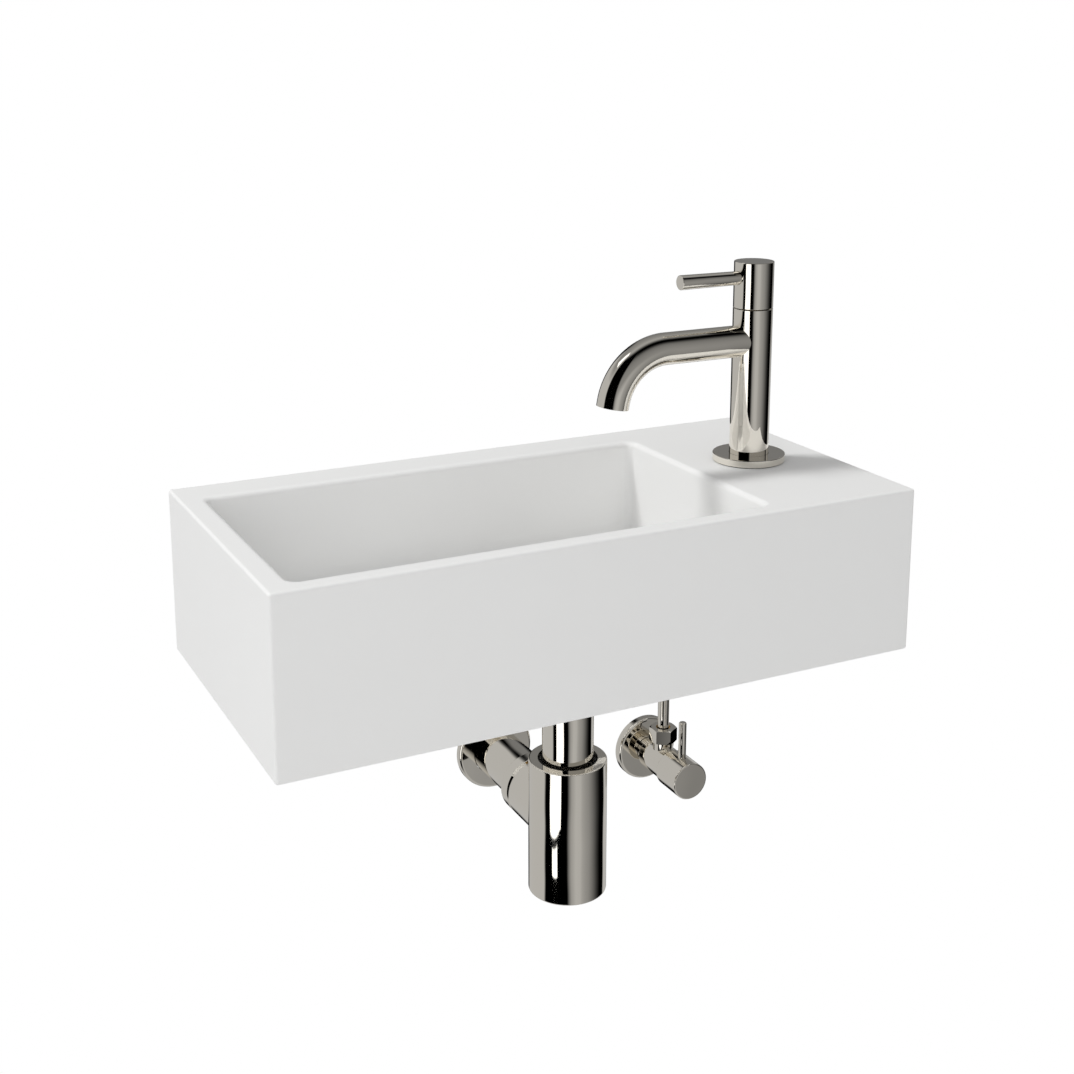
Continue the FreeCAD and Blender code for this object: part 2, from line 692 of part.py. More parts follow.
def make_trap():
    """Bottle trap: coupling on the waste, inlet tube, cup with side socket and clean-out plug."""
    tail = size.waste_tail / 2
    tube = size.drain_tube / 2
    tube_bore = tube - size.drain_tube_wall
    waste_end = -floor_low - size.waste_length
    washer_end = waste_end - size.coupling_washer_thickness
    collar_end = washer_end - size.tube_collar
    nut_end = collar_end - size.coupling_lip
    top = -size.trap_below_rim
    base = top - size.trap_length
    collar = tail - size.clear_gap
    ring("coupling_washer", tube_bore, collar, washer_end, waste_end, drain_axis)
    tube_end = base + size.plug_thickness + size.tube_dip
    turned(
        "inlet_tube",
        (
            (tube_bore, washer_end),
            (collar, washer_end),
            (collar, collar_end),
            (tube, collar_end),
            (tube, tube_end),
            (tube_bore, tube_end),
        ),
        drain_axis,
    )
    nut_top = nut_end + size.coupling_height
    hollow = stepped_bore(tube + size.slip_gap, tail + size.thread_gap, nut_end, collar_end, nut_top)
    nut("coupling_nut", size.coupling_flats, nut_end, nut_top, hollow, drain_axis)

    # Cup with its socket towards the wall
    cup = size.trap_width / 2
    outline = ((0, base), (cup, base, size.trap_round), (cup, top, size.trap_round), (0, top))
    body = turned("trap_body", outline, drain_axis)
    nose_end = size.socket_reach + size.socket_nose
    outlet = (0, -size.outlet_below_rim)
    for width, reach in ((size.socket_width, size.socket_reach), (size.socket_nose_width, nose_end)):
        sketch = new_sketch(body, "XZ_Plane")
        draw_circle(sketch, outlet, width / 2)
        add(body, "Pad", sketch, Length=reach, Reversed=True)
    cup_bore = cup - size.trap_wall
    mouth = size.trap_mouth / 2
    mouth_end = top - size.trap_mouth_depth
    neck = tube + size.slip_gap
    turn_out(
        body,
        (
            (0, base - size.overcut),
            (cup_bore, base - size.overcut),
            (cup_bore, top - size.trap_top),
            (neck, top - size.trap_top),
            (neck, mouth_end),
            (mouth, mouth_end),
            (mouth, top + size.overcut),
            (0, top + size.overcut),
        ),
    )
    sketch = new_sketch(body, "XZ_Plane")
    draw_circle(sketch, outlet, tube_bore)
    cut(body, "Pocket", sketch, Length=size.socket_reach)
    sketch = new_sketch(body, "XZ_Plane", -size.pipe_entry)
    draw_circle(sketch, outlet, neck)
    cut(body, "Pocket", sketch, Length=size.socket_reach)
    seal_top = top - size.trap_seal_inset
    ring("trap_tube_seal", tube + size.seal_gap, mouth - size.seal_gap, mouth_end, seal_top, drain_axis)

    # Clean-out plug in the base, with its ring and a slot
    plug = cup_bore - size.thread_gap
    groove = plug - size.plug_ring_section
    plug_top = base + size.plug_thickness
    groove_low = base + (size.plug_thickness - size.plug_ring_section) / 2
    groove_high = groove_low + size.plug_ring_section
    body = turned(
        "trap_base_plug",
        (
            (0, base),
            (plug, base),
            (plug, groove_low),
            (groove, groove_low),
            (groove, groove_high),
            (plug, groove_high),
            (plug, plug_top),
            (0, plug_top),
        ),
        drain_axis,
    )
    sketch = new_sketch(body, "XY_Plane", base)
    slot_x = size.plug_slot_length / 2
    slot_y = size.plug_slot_width / 2
    draw_outline(sketch, rectangle(-slot_x, slot_x, -slot_y, slot_y))
    cut(body, "Pocket", sketch, Length=size.plug_thickness / 2, Reversed=True)
    ring(
        "trap_plug_ring",
        groove + size.seal_gap,
        plug + size.seal_gap,
        groove_low + size.seal_gap,
        groove_high - size.seal_gap,
        drain_axis,
    )


def make_outlet():
    """Pipe from the trap into the wall. Heights here are distances out from the wall."""
    tube = size.drain_tube / 2
    nose = size.socket_nose_width / 2
    socket_end = size.drain_from_wall - size.socket_reach
    nut_out = socket_end - size.socket_seam
    nut_in = nut_out - size.outlet_nut_length
    lip_out = nut_in + size.outlet_lip
    sleeve = tube + size.slip_gap
    thread = nose + size.thread_gap
    outer = size.socket_width / 2
    turned(
        "outlet_nut",
        (
            (sleeve, nut_in),
            (outer, nut_in, size.edge_round),
            (outer, nut_out, size.edge_round),
            (thread, nut_out),
            (thread, lip_out),
            (sleeve, lip_out),
        ),
        outlet_axis,
        OUT_FROM_WALL,
    )
    seal_out = socket_end - size.socket_nose
    ring("outlet_seal", tube + size.seal_gap, nose, lip_out, seal_out, outlet_axis, OUT_FROM_WALL)
    pipe_out = size.drain_from_wall - size.pipe_entry
    pipe_bore = tube - size.drain_tube_wall
    spigot = size.pipe_spigot / 2
    turned(
        "wall_pipe",
        (
            (pipe_bore, -size.pipe_in_wall),
            (spigot, -size.pipe_in_wall),
            (spigot, 0),
            (tube, 0),
            (tube, pipe_out),
            (pipe_bore, pipe_out),
        ),
        outlet_axis,
        OUT_FROM_WALL,
    )
    rosette("drain_rosette", tube, size.drain_rosette_width, size.drain_rosette_depth, outlet_axis)


def rosette(label, pipe, width, depth, point):
    """A disc with a rounded front edge that covers the hole in the wall."""
    hole = pipe + size.clear_gap
    outline = ((hole, 0), (width / 2, 0), (width / 2, depth, size.rosette_round), (hole, depth))
    turned(label, outline, point, OUT_FROM_WALL)


def make_tap_body():
    """Column with its shank, the foot on the deck and the spout."""
    shank = size.shank_width / 2
    column = size.column_width / 2
    foot_low = size.tap_base_seal_thickness
    column_low = foot_low + size.tap_flange_lip
    flange = size.tap_flange_width / 2
    hole = size.tap_hole / 2
    ring("tap_base_seal", hole, flange - size.tap_base_seal_inset, 0, foot_low, tap_axis)
    turned(
        "tap_flange",
        (
            (shank + size.slip_gap, foot_low),
            (flange, foot_low),
            (flange, size.tap_flange_top, size.edge_round),
            (column + size.slip_gap, size.tap_flange_top),
            (column + size.slip_gap, column_low),
            (shank + size.slip_gap, column_low),
        ),
        tap_axis,
    )
    inlet = size.tap_inlet / 2
    chamber = size.column_chamber / 2
    body = turned(
        "tap_body",
        (
            (inlet, -size.shank_length),
            (shank, -size.shank_length),
            (shank, column_low),
            (column, column_low),
            (column, column_top, size.edge_round / 2),
            (chamber, column_top),
            (chamber, chamber_floor),
            (inlet, chamber_floor),
        ),
        tap_axis,
    )
    spout_bore = size.spout_width / 2 - size.spout_wall
    sketch = new_sketch(body, "YZ_Plane")
    draw_circle(sketch, (0, spout_height), spout_bore)
    cut(body, "Pocket", sketch, Length=column + size.overcut)

    # Spout: a bent tube whose root is cut to the round of the column
    body = new_body("tap_spout")
    start = column / 2
    path = new_sketch(body, "XZ_Plane")
    draw_outline(path, spout_path(start), closed=False)
    section = new_sketch(body, "YZ_Plane", -start)
    draw_circle(section, (0, 0), size.spout_width / 2)
    draw_circle(section, (0, 0), spout_bore)
    add(body, "AdditivePipe", section, Spine=path)
    sketch = new_sketch(body, "XY_Plane")
    draw_circle(sketch, (0, 0), column)
    cut(body, "Pocket", sketch, SideType="Symmetric", Length=size.spout_width * 2)
    place(body, (tap_x, tap_y, rim + spout_height))


def spout_path(start):
    """Middle line of the spout from a distance beside the tap axis, in X and Z."""
    tangent = size.spout_bend * angle_function("tan", size.spout_turn / 2)
    corner = size.spout_run + tangent
    last = tangent + size.spout_end
    end_x = corner + last * angle_function("cos", size.spout_turn)
    end_z = last * angle_function("sin", size.spout_turn)
    return ((-start, 0), (-corner, 0, size.spout_bend), (-end_x, -end_z))


def make_aerator():
    """Flow straightener in the spout's end. Heights here run up into the spout from its end."""
    end = spout_path(size.column_width)[-1]
    point = (tap_x + end[0], tap_y, rim + spout_height + end[1])
    tilt = as_size(QUARTER_TURN) - size.spout_turn
    inside = size.spout_width / 2 - size.spout_wall - size.thread_gap
    grid_seat = inside - size.aerator_wall
    lip = grid_seat - size.aerator_lip
    low = size.aerator_inset
    lip_top = low + size.aerator_lip_height
    high = low + size.aerator_length
    housing = turned(
        "aerator_housing",
        (
            (lip, low),
            (inside, low),
            (inside, high),
            (grid_seat, high),
            (grid_seat, lip_top),
            (lip, lip_top),
        ),
        point,
    )
    grid_radius = grid_seat - size.seal_gap
    grid_top = lip_top + size.grid_thickness
    grid = turned(
        "aerator_grid",
        ((0, lip_top), (grid_radius, lip_top), (grid_radius, grid_top), (0, grid_top)),
        point,
    )
    sketch = new_sketch(grid, "XY_Plane", grid_top)
    draw_circle(sketch, (0, 0), size.grid_hole / 2)
    for holes, radius in ((HEX_SIDES, size.grid_inner_ring), (2 * HEX_SIDES, size.grid_outer_ring)):
        for hole in range(holes):
            turn = math.radians(FULL_TURN * hole / holes)
            draw_circle(sketch, (radius * math.cos(turn), radius * math.sin(turn)), size.grid_hole / 2)
    cut(grid, "Pocket", sketch, Type="ThroughAll")
    washer_top = high + size.aerator_washer_thickness
    outer = inside - size.thread_gap
    washer = ring("aerator_washer", outer - size.aerator_washer_width, outer, high, washer_top, point)
    for piece in (housing, grid, washer):
        piece.Placement.Rotation = FreeCAD.Rotation(Y_AXIS, tilt.value)
        piece.setExpression("Placement.Rotation.Angle", tilt.text)


def make_head():
    """Turning head of the tap and its lever."""
    column = size.column_width / 2
    cavity = size.head_cavity / 2
    cavity_top = head_low + size.head_cavity_height
    hub = size.spindle_width / 2 + size.running_gap
    hub_top = head_top - size.head_roof
    head = turned(
        "tap_head",
        (
            (cavity, head_low),
            (column, head_low, size.edge_round / 2),
            (column, head_top, size.edge_round),
            (0, head_top),
            (0, hub_top),
            (hub, hub_top),
            (hub, cavity_top),
            (cavity, cavity_top),
        ),
        tap_axis,
    )
    seat = column - size.lever_seat
    root = size.lever_root / 2
    thread = size.lever_thread / 2
    for offset, radius in ((0, thread + size.thread_gap), (-seat, root + size.slip_gap)):
        sketch = new_sketch(head, "YZ_Plane", offset)
        draw_circle(sketch, (0, size.lever_height), radius)
        cut(head, "Pocket", sketch, Length=seat)
    tip = size.spindle_flat + size.thread_gap
    turned(
        "tap_lever",
        (
            (0, tip),
            (thread, tip),
            (thread, seat),
            (root, seat),
            (size.lever_tip / 2, size.lever_reach, size.edge_round),
            (0, size.lever_reach),
        ),
        (tap_x, tap_y, rim + size.lever_height),
        ALONG_LEVER,
    )


def make_headwork():
    """Quarter-turn headwork with two ceramic discs, in the chamber of the column."""
    seat_top = chamber_floor + size.seat_seal_thickness
    cage = size.cage_bore / 2
    cage_outer = cage + size.cage_wall
    seal_inner = size.tap_inlet / 2 + size.slip_gap
    ring("seat_seal", seal_inner, cage_outer, chamber_floor, seat_top, tap_axis)
    thread = size.column_chamber / 2 - size.thread_gap
    thread_low = seat_top + size.cage_height
    hex_radius = size.headwork_hex / 2
    top = column_top + size.headwork_rise
    spindle = size.spindle_width / 2
    spindle_bore = spindle + size.running_gap
    cage_top = thread_low + size.cage_roof
    groove = spindle_bore + size.o_ring_section
    groove_low = (cage_top + top) / 2 - size.o_ring_height / 2
    groove_high = groove_low + size.o_ring_height
    body = turned(
        "headwork_body",
        (
            (cage, seat_top),
            (cage_outer, seat_top),
            (cage_outer, thread_low),
            (thread, thread_low),
            (thread, column_top),
            (hex_radius, column_top),
            (hex_radius, top),
            (spindle_bore, top),
            (spindle_bore, groove_high),
            (groove, groove_high),
            (groove, groove_low),
            (spindle_bore, groove_low),
            (spindle_bore, cage_top),
            (cage, cage_top),
        ),
        tap_axis,
    )
    moving_low = seat_top + size.disc_thickness + size.seal_gap
    moving_top = moving_low + size.disc_thickness
    window_low = moving_top + size.overcut
    sketch = new_sketch(body, "YZ_Plane")
    window_half = size.cage_window_width / 2
    outline = rectangle(-window_half, window_half, window_low, window_low + size.cage_window_height)
    draw_outline(sketch, outline)
    cut(body, "Pocket", sketch, SideType="Symmetric", Length=cage_outer * 2 + size.overcut)
    ring(
        "spindle_o_ring",
        spindle_bore + size.seal_gap,
        groove - size.seal_gap,
        groove_low + size.seal_gap,
        groove_high - size.seal_gap,
        tap_axis,
    )

    # Ceramic discs: closed when the ports of one lie a quarter turn from the other's
    ported_disc("fixed_disc", seat_top, QUARTER_TURN)
    ported_disc("moving_disc", moving_low, 0, moving_top)

    # Spindle with its thrust collar, drive tongue and flat
    collar_top = cage_top - size.seal_gap
    collar_low = collar_top - size.spindle_collar_height
    collar = size.spindle_collar / 2
    rod_low = moving_top + size.overcut
    rod_top = head_top - size.head_roof - size.clear_gap
    body = turned(
        "headwork_spindle",
        (
            (0, rod_low),
            (spindle, rod_low),
            (spindle, collar_low),
            (collar, collar_low),
            (collar, collar_top),
            (spindle, collar_top),
            (spindle, rod_top),
            (0, rod_top),
        ),
        tap_axis,
    )
    tongue_low = moving_top - size.tongue_depth
    sketch = new_sketch(body, "XY_Plane", tongue_low)
    half_x = size.tongue_width / 2
    half_y = size.tongue_length / 2
    draw_outline(sketch, rectangle(-half_x, half_x, -half_y, half_y))
    add(body, "Pad", sketch, Length=rod_low - tongue_low + size.overcut)
    flat_low = size.lever_height - size.spindle_flat_reach
    flat_on(body, -size.spindle_flat, flat_low, rod_top + size.overcut, spindle, "XZ_Plane")


def ported_disc(label, low, turn, slot_top=None):
    """A ceramic disc with two fan-shaped ports, and a slot for the drive tongue where a top is given."""
    disc = doc.addObject("Part::Cylinder", label + "_blank")
    disc.setExpression("Radius", (size.disc_width / 2).text)
    disc.setExpression("Height", size.disc_thickness.text)
    tools = []
    for side in (0, HALF_TURN):
        port = doc.addObject("Part::Cylinder", label + "_port")
        port.setExpression("Radius", size.disc_port.text)
        port.setExpression("Height", (size.disc_thickness + size.overcut * 2).text)
        port.setExpression("Angle", size.disc_port_angle.text)
        port.Placement.Rotation = FreeCAD.Rotation(Z_AXIS, turn + side)
        first_edge = as_size(turn + side) - size.disc_port_angle / 2
        port.setExpression("Placement.Rotation.Angle", first_edge.text)
        direction = math.radians(turn + side)
        offset = size.disc_port_offset
        place(port, (offset * math.cos(direction), offset * math.sin(direction), -size.overcut))
        tools.append(port)
    if slot_top is not None:
        slot = doc.addObject("Part::Box", label + "_slot")
        width = size.tongue_width + size.slip_gap * 2
        slot.setExpression("Length", width.text)
        slot.setExpression("Width", (size.disc_width + size.overcut).text)
        slot.setExpression("Height", (size.tongue_depth + size.slip_gap + size.overcut).text)
        slot_low = size.disc_thickness - size.tongue_depth - size.slip_gap
        place(slot, (-width / 2, -(size.disc_width + size.overcut) / 2, slot_low))
        tools.append(slot)
    cutter = doc.addObject("Part::MultiFuse", label + "_cutter")
    cutter.Shapes = tools
    result = doc.addObject("Part::Cut", label)
    result.Label = label
    result.Base = disc
    result.Tool = cutter
    place(result, (tap_x, tap_y, rim + low))
    pieces.append(result)


def make_tap_fixing():
    """Washers and nut that hold the tap from below the deck."""
    shank = size.shank_width / 2
    washer = size.deck_washer_width / 2
    hole = shank + size.slip_gap
    deck = -size.deck_thickness
    rubber_end = deck - size.deck_rubber_thickness
    steel_end = rubber_end - size.deck_steel_thickness
    nut_end = steel_end - size.tap_nut_height
    ring("deck_rubber_washer", hole, washer, rubber_end, deck, tap_axis)
    ring("deck_steel_washer", hole, washer, steel_end, rubber_end, tap_axis)
    hollow = bore(shank + size.thread_gap, nut_end, steel_end)
    nut("tap_back_nut", size.tap_nut_flats, nut_end, steel_end, hollow, tap_axis)


def make_supply():
    """Rigid tube from the shank of the tap down to the stop valve, with its nut and washer."""
    shank = size.shank_width / 2
    tube = size.supply_tube_width / 2
    tube_bore = tube - size.supply_tube_wall
    shank_end = -size.shank_length
    washer_end = shank_end - size.tail_washer_thickness
    collar_end = washer_end - size.supply_collar
    nut_end = collar_end - size.tail_nut_lip
    nut_top = nut_end + size.tail_nut_height
    collar = shank - size.clear_gap
    ring("tail_washer", tube_bore, collar, washer_end, shank_end, tap_axis)
    hollow = stepped_bore(tube + size.slip_gap, shank + size.thread_gap, nut_end, collar_end, nut_top)
    nut("tail_nut", size.tail_nut_flats, nut_end, nut_top, hollow, tap_axis)

    # The tube's middle line lies in the upright plane through both of its ends
    across = valve_x - tap_x
    towards_wall = as_size(0) - size.valve_outlet_out - tap_y
    span = Size(
        math.hypot(across.value, towards_wall.value),
        "hypot(%s; %s)" % (across.text, towards_wall.text),
    )
    bearing = Size(
        math.degrees(math.atan2(towards_wall.value, across.value)),
        "atan2(%s; %s)" % (towards_wall.text, across.text),
    )
    socket_floor = size.valve_boss_top + size.valve_nose - size.tube_socket
    tube_end = socket_floor + size.clear_gap - size.valve_below_rim
    body = new_body("supply_tube")
    path = new_sketch(body, "XZ_Plane")
    draw_outline(
        path,
        (
            (0, washer_end),
            (0, collar_end - size.supply_upper_bend, size.supply_bend),
            (span, tube_end + size.supply_lower_bend, size.supply_bend),
            (span, tube_end),
        ),
        closed=False,
    )
    section = new_sketch(body, "XY_Plane", washer_end)
    draw_circle(section, (0, 0), tube)
    draw_circle(section, (0, 0), tube_bore)
    add(body, "AdditivePipe", section, Spine=path)
    sketch = new_sketch(body, "XY_Plane", collar_end)
    draw_circle(sketch, (0, 0), collar)
    draw_circle(sketch, (0, 0), tube_bore)
    add(body, "Pad", sketch, Length=size.supply_collar)
    place(body, tap_axis, FreeCAD.Rotation(Z_AXIS, bearing.value))
    body.setExpression("Placement.Rotation.Angle", bearing.text)


def make_valve_body():
    """Angle stop valve on the wall. Heights here are distances out from the wall."""
    inlet = size.valve_inlet / 2
    outer = size.valve_body_width / 2
    neck = size.valve_neck / 2
    rosette("valve_rosette", neck, size.valve_rosette_width, size.valve_rosette_depth, valve_axis)
    back = -size.valve_in_wall
    front = size.valve_body_end
    body = turned(
        "valve_body",
        (
            (0, back),
            (inlet, back),
            (inlet, 0),
            (neck, 0),
            (neck, size.valve_neck_end),
            (outer, size.valve_neck_end, size.edge_round),
            (outer, front, size.edge_round / 2),
            (0, front),
        ),
        valve_axis,
        OUT_FROM_WALL,
    )
    outlet = (0, size.valve_outlet_out)
    nose_top = size.valve_boss_top + size.valve_nose
    for width, reach in ((size.valve_boss_width, size.valve_boss_top), (size.valve_nose_width, nose_top)):
        sketch = new_sketch(body, "XZ_Plane")
        draw_circle(sketch, outlet, width / 2)
        add(body, "Pad", sketch, Length=reach, Reversed=True)
    chamber = size.valve_chamber / 2
    waterway = size.valve_waterway / 2
    turn_out(body, stepped_bore(waterway, chamber, back, size.valve_chamber_floor, front))
    tube = size.supply_tube_width / 2
    sketch = new_sketch(body, "XZ_Plane")
    draw_circle(sketch, outlet, size.valve_port / 2)
    cut(body, "Pocket", sketch, Length=nose_top)
    sketch = new_sketch(body, "XZ_Plane", -(nose_top - size.tube_socket))
    draw_circle(sketch, outlet, tube + size.slip_gap)
    cut(body, "Pocket", sketch, Length=size.tube_socket + size.overcut)

    # Compression joint on the supply tube. Heights here run up from the valve's axis.
    nut_low = size.valve_boss_top
    nut_high = nut_low + size.outlet_nut_height
    lip = nut_high - size.outlet_nut_lip
    thread = size.valve_nose_width / 2 + size.thread_gap
    hollow = stepped_bore(thread, tube + size.slip_gap, nut_low, lip, nut_high)
    nut("valve_outlet_nut", size.outlet_nut_flats, nut_low, nut_high, hollow, valve_outlet_axis)
    olive = thread - size.thread_gap - size.slip_gap
    ring("valve_olive", tube + size.seal_gap, olive, nose_top, lip, valve_outlet_axis)


def make_valve_inside():
    """Ball, seat, gland and stem of the stop valve."""
    floor = size.valve_chamber_floor
    chamber = size.valve_chamber / 2 - size.thread_gap
    waterway = size.valve_waterway / 2
    ring("valve_seat", waterway, chamber, floor, floor + size.seat_length, valve_axis, OUT_FROM_WALL)
    stem = size.stem_width / 2
    stem_bore = stem + size.running_gap
    gland_out = size.valve_body_end
    gland_in = gland_out - size.gland_length
    groove = stem_bore + size.gland_ring_section
    groove_in = (gland_in + gland_out) / 2 - size.gland_ring_length / 2
    groove_out = groove_in + size.gland_ring_length
    turned(
        "valve_gland",
        (
            (stem_bore, gland_in),
            (chamber, gland_in),
            (chamber, gland_out),
            (stem_bore, gland_out),
            (stem_bore, groove_out),
            (groove, groove_out),
            (groove, groove_in),
            (stem_bore, groove_in),
        ),
        valve_axis,
        OUT_FROM_WALL,
    )
    ring(
        "valve_stem_ring",
        stem_bore + size.seal_gap,
        groove - size.seal_gap,
        groove_in + size.seal_gap,
        groove_out - size.seal_gap,
        valve_axis,
        OUT_FROM_WALL,
    )
    slot_in = size.valve_outlet_out + size.ball_width / 2 - size.ball_slot_depth
    make_ball(slot_in)
    stem_in = size.valve_outlet_out + size.ball_width / 2 + size.seal_gap
    handle_front = size.valve_body_end + size.handle_seam + size.handle_length
    stem_out = handle_front - size.handle_front - size.clear_gap
    outline = ((0, stem_in), (stem, stem_in), (stem, stem_out), (0, stem_out))
    body = turned("valve_stem", outline, valve_axis, OUT_FROM_WALL)
    tongue_in = slot_in + size.slip_gap
    sketch = new_sketch(body, "XY_Plane", tongue_in)
    half_x = size.stem_tongue_width / 2
    half_y = size.stem_tongue / 2
    draw_outline(sketch, rectangle(-half_x, half_x, -half_y, half_y))
    add(body, "Pad", sketch, Length=stem_in - tongue_in + size.overcut)
    flat_in = size.pin_out - size.stem_flat_reach
    flat_on(body, size.stem_flat, flat_in, stem_out + size.overcut, stem, "YZ_Plane")


def make_ball(slot_in):
    """Ball with a bent port, from the inlet behind it to the outlet above it, and a slot in front."""
    ball = doc.addObject("Part::Sphere", "valve_ball_blank")
    ball.setExpression("Radius", (size.ball_width / 2).text)
    tools = []
    for angle in (HALF_TURN, -QUARTER_TURN):
        port = doc.addObject("Part::Cylinder", "valve_ball_port")
        port.setExpression("Radius", (size.valve_port / 2).text)
        port.setExpression("Height", size.ball_width.text)
        port.Placement.Rotation = FreeCAD.Rotation(X_AXIS, angle)
        tools.append(port)
    slot = doc.addObject("Part::Box", "valve_ball_slot")
    width = size.stem_tongue_width + size.slip_gap * 2
    thickness = size.stem_tongue + size.slip_gap * 2
    slot.setExpression("Length", width.text)
    slot.setExpression("Width", thickness.text)
    slot.setExpression("Height", (size.ball_slot_depth + size.overcut).text)
    place(slot, (-width / 2, -thickness / 2, slot_in - size.valve_outlet_out))
    tools.append(slot)
    cutter = doc.addObject("Part::MultiFuse", "valve_ball_cutter")
    cutter.Shapes = tools
    result = doc.addObject("Part::Cut", "valve_ball")
    result.Label = "valve_ball"
    result.Base = ball
    result.Tool = cutter
    place(result, valve_outlet_axis, OUT_FROM_WALL)
    pieces.append(result)


def make_valve_handle():
    """Handle of the stop valve and the pin that turns it."""
    outer = size.handle_width / 2
    low = size.valve_body_end + size.handle_seam
    front = low + size.handle_length
    cavity = size.handle_cavity / 2
    cavity_end = low + size.handle_cavity_depth
    hub = size.stem_width / 2 + size.running_gap
    hub_end = front - size.handle_front
    handle = turned(
        "valve_handle",
        (
            (cavity, low),
            (outer, low, size.edge_round),
            (outer, front, size.handle_round),
            (0, front),
            (0, hub_end),
            (hub, hub_end),
            (hub, cavity_end),
            (cavity, cavity_end),
        ),
        valve_axis,
        OUT_FROM_WALL,
    )
    seat = outer - size.pin_seat
    pin = size.pin_width / 2
    thread = size.pin_thread / 2
    for offset, radius in ((0, thread + size.thread_gap), (-seat, pin + size.slip_gap)):
        sketch = new_sketch(handle, "XZ_Plane", offset)
        draw_circle(sketch, (0, size.pin_out), radius)
        cut(handle, "Pocket", sketch, Length=seat)
    tip = size.stem_flat + size.thread_gap
    turned(
        "valve_pin",
        (
            (0, tip),
            (thread, tip),
            (thread, seat),
            (pin, seat),
            (pin, size.pin_reach, pin - size.slip_gap),
            (0, size.pin_reach),
        ),
        (valve_x, -size.pin_out, rim - size.valve_below_rim),
    )


def check_pieces():
    """Stops the build if any object failed or any piece is empty or broken."""
    doc.recompute()
    failed = [item.Name for item in doc.Objects if {"Invalid", "Error"} & set(item.State)]
    if failed:
        raise ValueError("failed: " + ", ".join(failed))
    for piece in pieces:
        shape = piece.Shape
        if shape.isNull() or not shape.isValid() or not shape.Solids:
            raise ValueError("bad shape: " + piece.Label)


def write_pieces():
    os.makedirs("parts", exist_ok=True)
    for piece in pieces:
        piece.Shape.exportStep(os.path.join("parts", piece.Label + ".step"))


make_basin()
make_waste()
make_trap()
make_outlet()
make_tap_body()
make_aerator()
make_head()
make_headwork()
make_tap_fixing()
make_supply()
make_valve_body()
make_valve_inside()
make_valve_handle()
check_pieces()
write_pieces()
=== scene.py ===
"""Looks of a wall-hung hand basin with its pillar tap, bottle trap and angle stop valve.

Metres, +Z up. The wall is the plane Y = 0, and the basin stands out towards -Y.
"""
import json
import math

import bmesh
import bpy
from mathutils import Matrix, Vector


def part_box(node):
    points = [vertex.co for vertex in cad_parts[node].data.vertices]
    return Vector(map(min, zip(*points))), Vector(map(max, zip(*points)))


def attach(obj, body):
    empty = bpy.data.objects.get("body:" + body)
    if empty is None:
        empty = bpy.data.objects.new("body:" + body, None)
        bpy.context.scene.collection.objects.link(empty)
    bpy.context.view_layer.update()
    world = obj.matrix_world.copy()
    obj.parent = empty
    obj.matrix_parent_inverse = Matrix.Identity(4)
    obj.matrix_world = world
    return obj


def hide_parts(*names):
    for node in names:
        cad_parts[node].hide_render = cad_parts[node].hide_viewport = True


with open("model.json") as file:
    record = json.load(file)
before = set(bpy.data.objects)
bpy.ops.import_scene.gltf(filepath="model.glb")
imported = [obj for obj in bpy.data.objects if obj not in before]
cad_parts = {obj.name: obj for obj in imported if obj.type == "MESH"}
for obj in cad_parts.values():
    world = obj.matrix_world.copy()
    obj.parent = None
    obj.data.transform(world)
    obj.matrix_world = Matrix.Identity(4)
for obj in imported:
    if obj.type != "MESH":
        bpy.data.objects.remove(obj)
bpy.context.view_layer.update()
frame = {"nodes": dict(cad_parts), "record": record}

bl_info = {
    "name": "Hand basin with tap",
    "version": (1, 0, 0),
    "blender": (4, 5, 0),
    "location": "View3D > Sidebar > Hand basin",
    "description": "Finishes, threads and studio of a wall-hung hand basin with its fittings",
    "category": "Object",
}

MM = 0.001
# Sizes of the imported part's mounts, by name
MOUNTS = {mount["name"]: mount["dims"] for mount in frame["record"]["mounts"]}

# The finish of each of the record's material slots
FINISHES = {
    "cast_basin": "cast resin, matt gelcoat",
    "nickel": "polished nickel plate",
    "raw_brass": "turned brass",
    "zinced_steel": "zinc-plated steel",
    "black_rubber": "moulded rubber",
    "disc_ceramic": "lapped alumina",
    "grey_plastic": "moulded acetal",
    "white_plastic": "pressed fluoropolymer",
}


class FinishColours(bpy.types.PropertyGroup):
    """Colours of the finishes, as sRGB hex values."""

    basin: bpy.props.StringProperty(
        name="Basin", description="Matt white of the cast basin", default="F6F6F5"
    )
    nickel: bpy.props.StringProperty(
        name="Nickel", description="Warm grey of polished nickel plate", default="F0EBE1"
    )
    brass: bpy.props.StringProperty(
        name="Brass", description="Bare turned brass of the inner pieces", default="BC9A5E"
    )
    zinc: bpy.props.StringProperty(
        name="Zinc", description="Zinc-plated steel washer", default="A9ADB0"
    )
    rubber: bpy.props.StringProperty(
        name="Rubber", description="Black seals and washers", default="0E0E0F"
    )
    alumina: bpy.props.StringProperty(
        name="Alumina", description="Ceramic discs of the headwork", default="E2DCCF"
    )
    acetal: bpy.props.StringProperty(
        name="Acetal", description="Grey flow straightener", default="5C5F62"
    )
    fluoropolymer: bpy.props.StringProperty(
        name="Fluoropolymer", description="White seat of the stop valve", default="DCDCDA"
    )


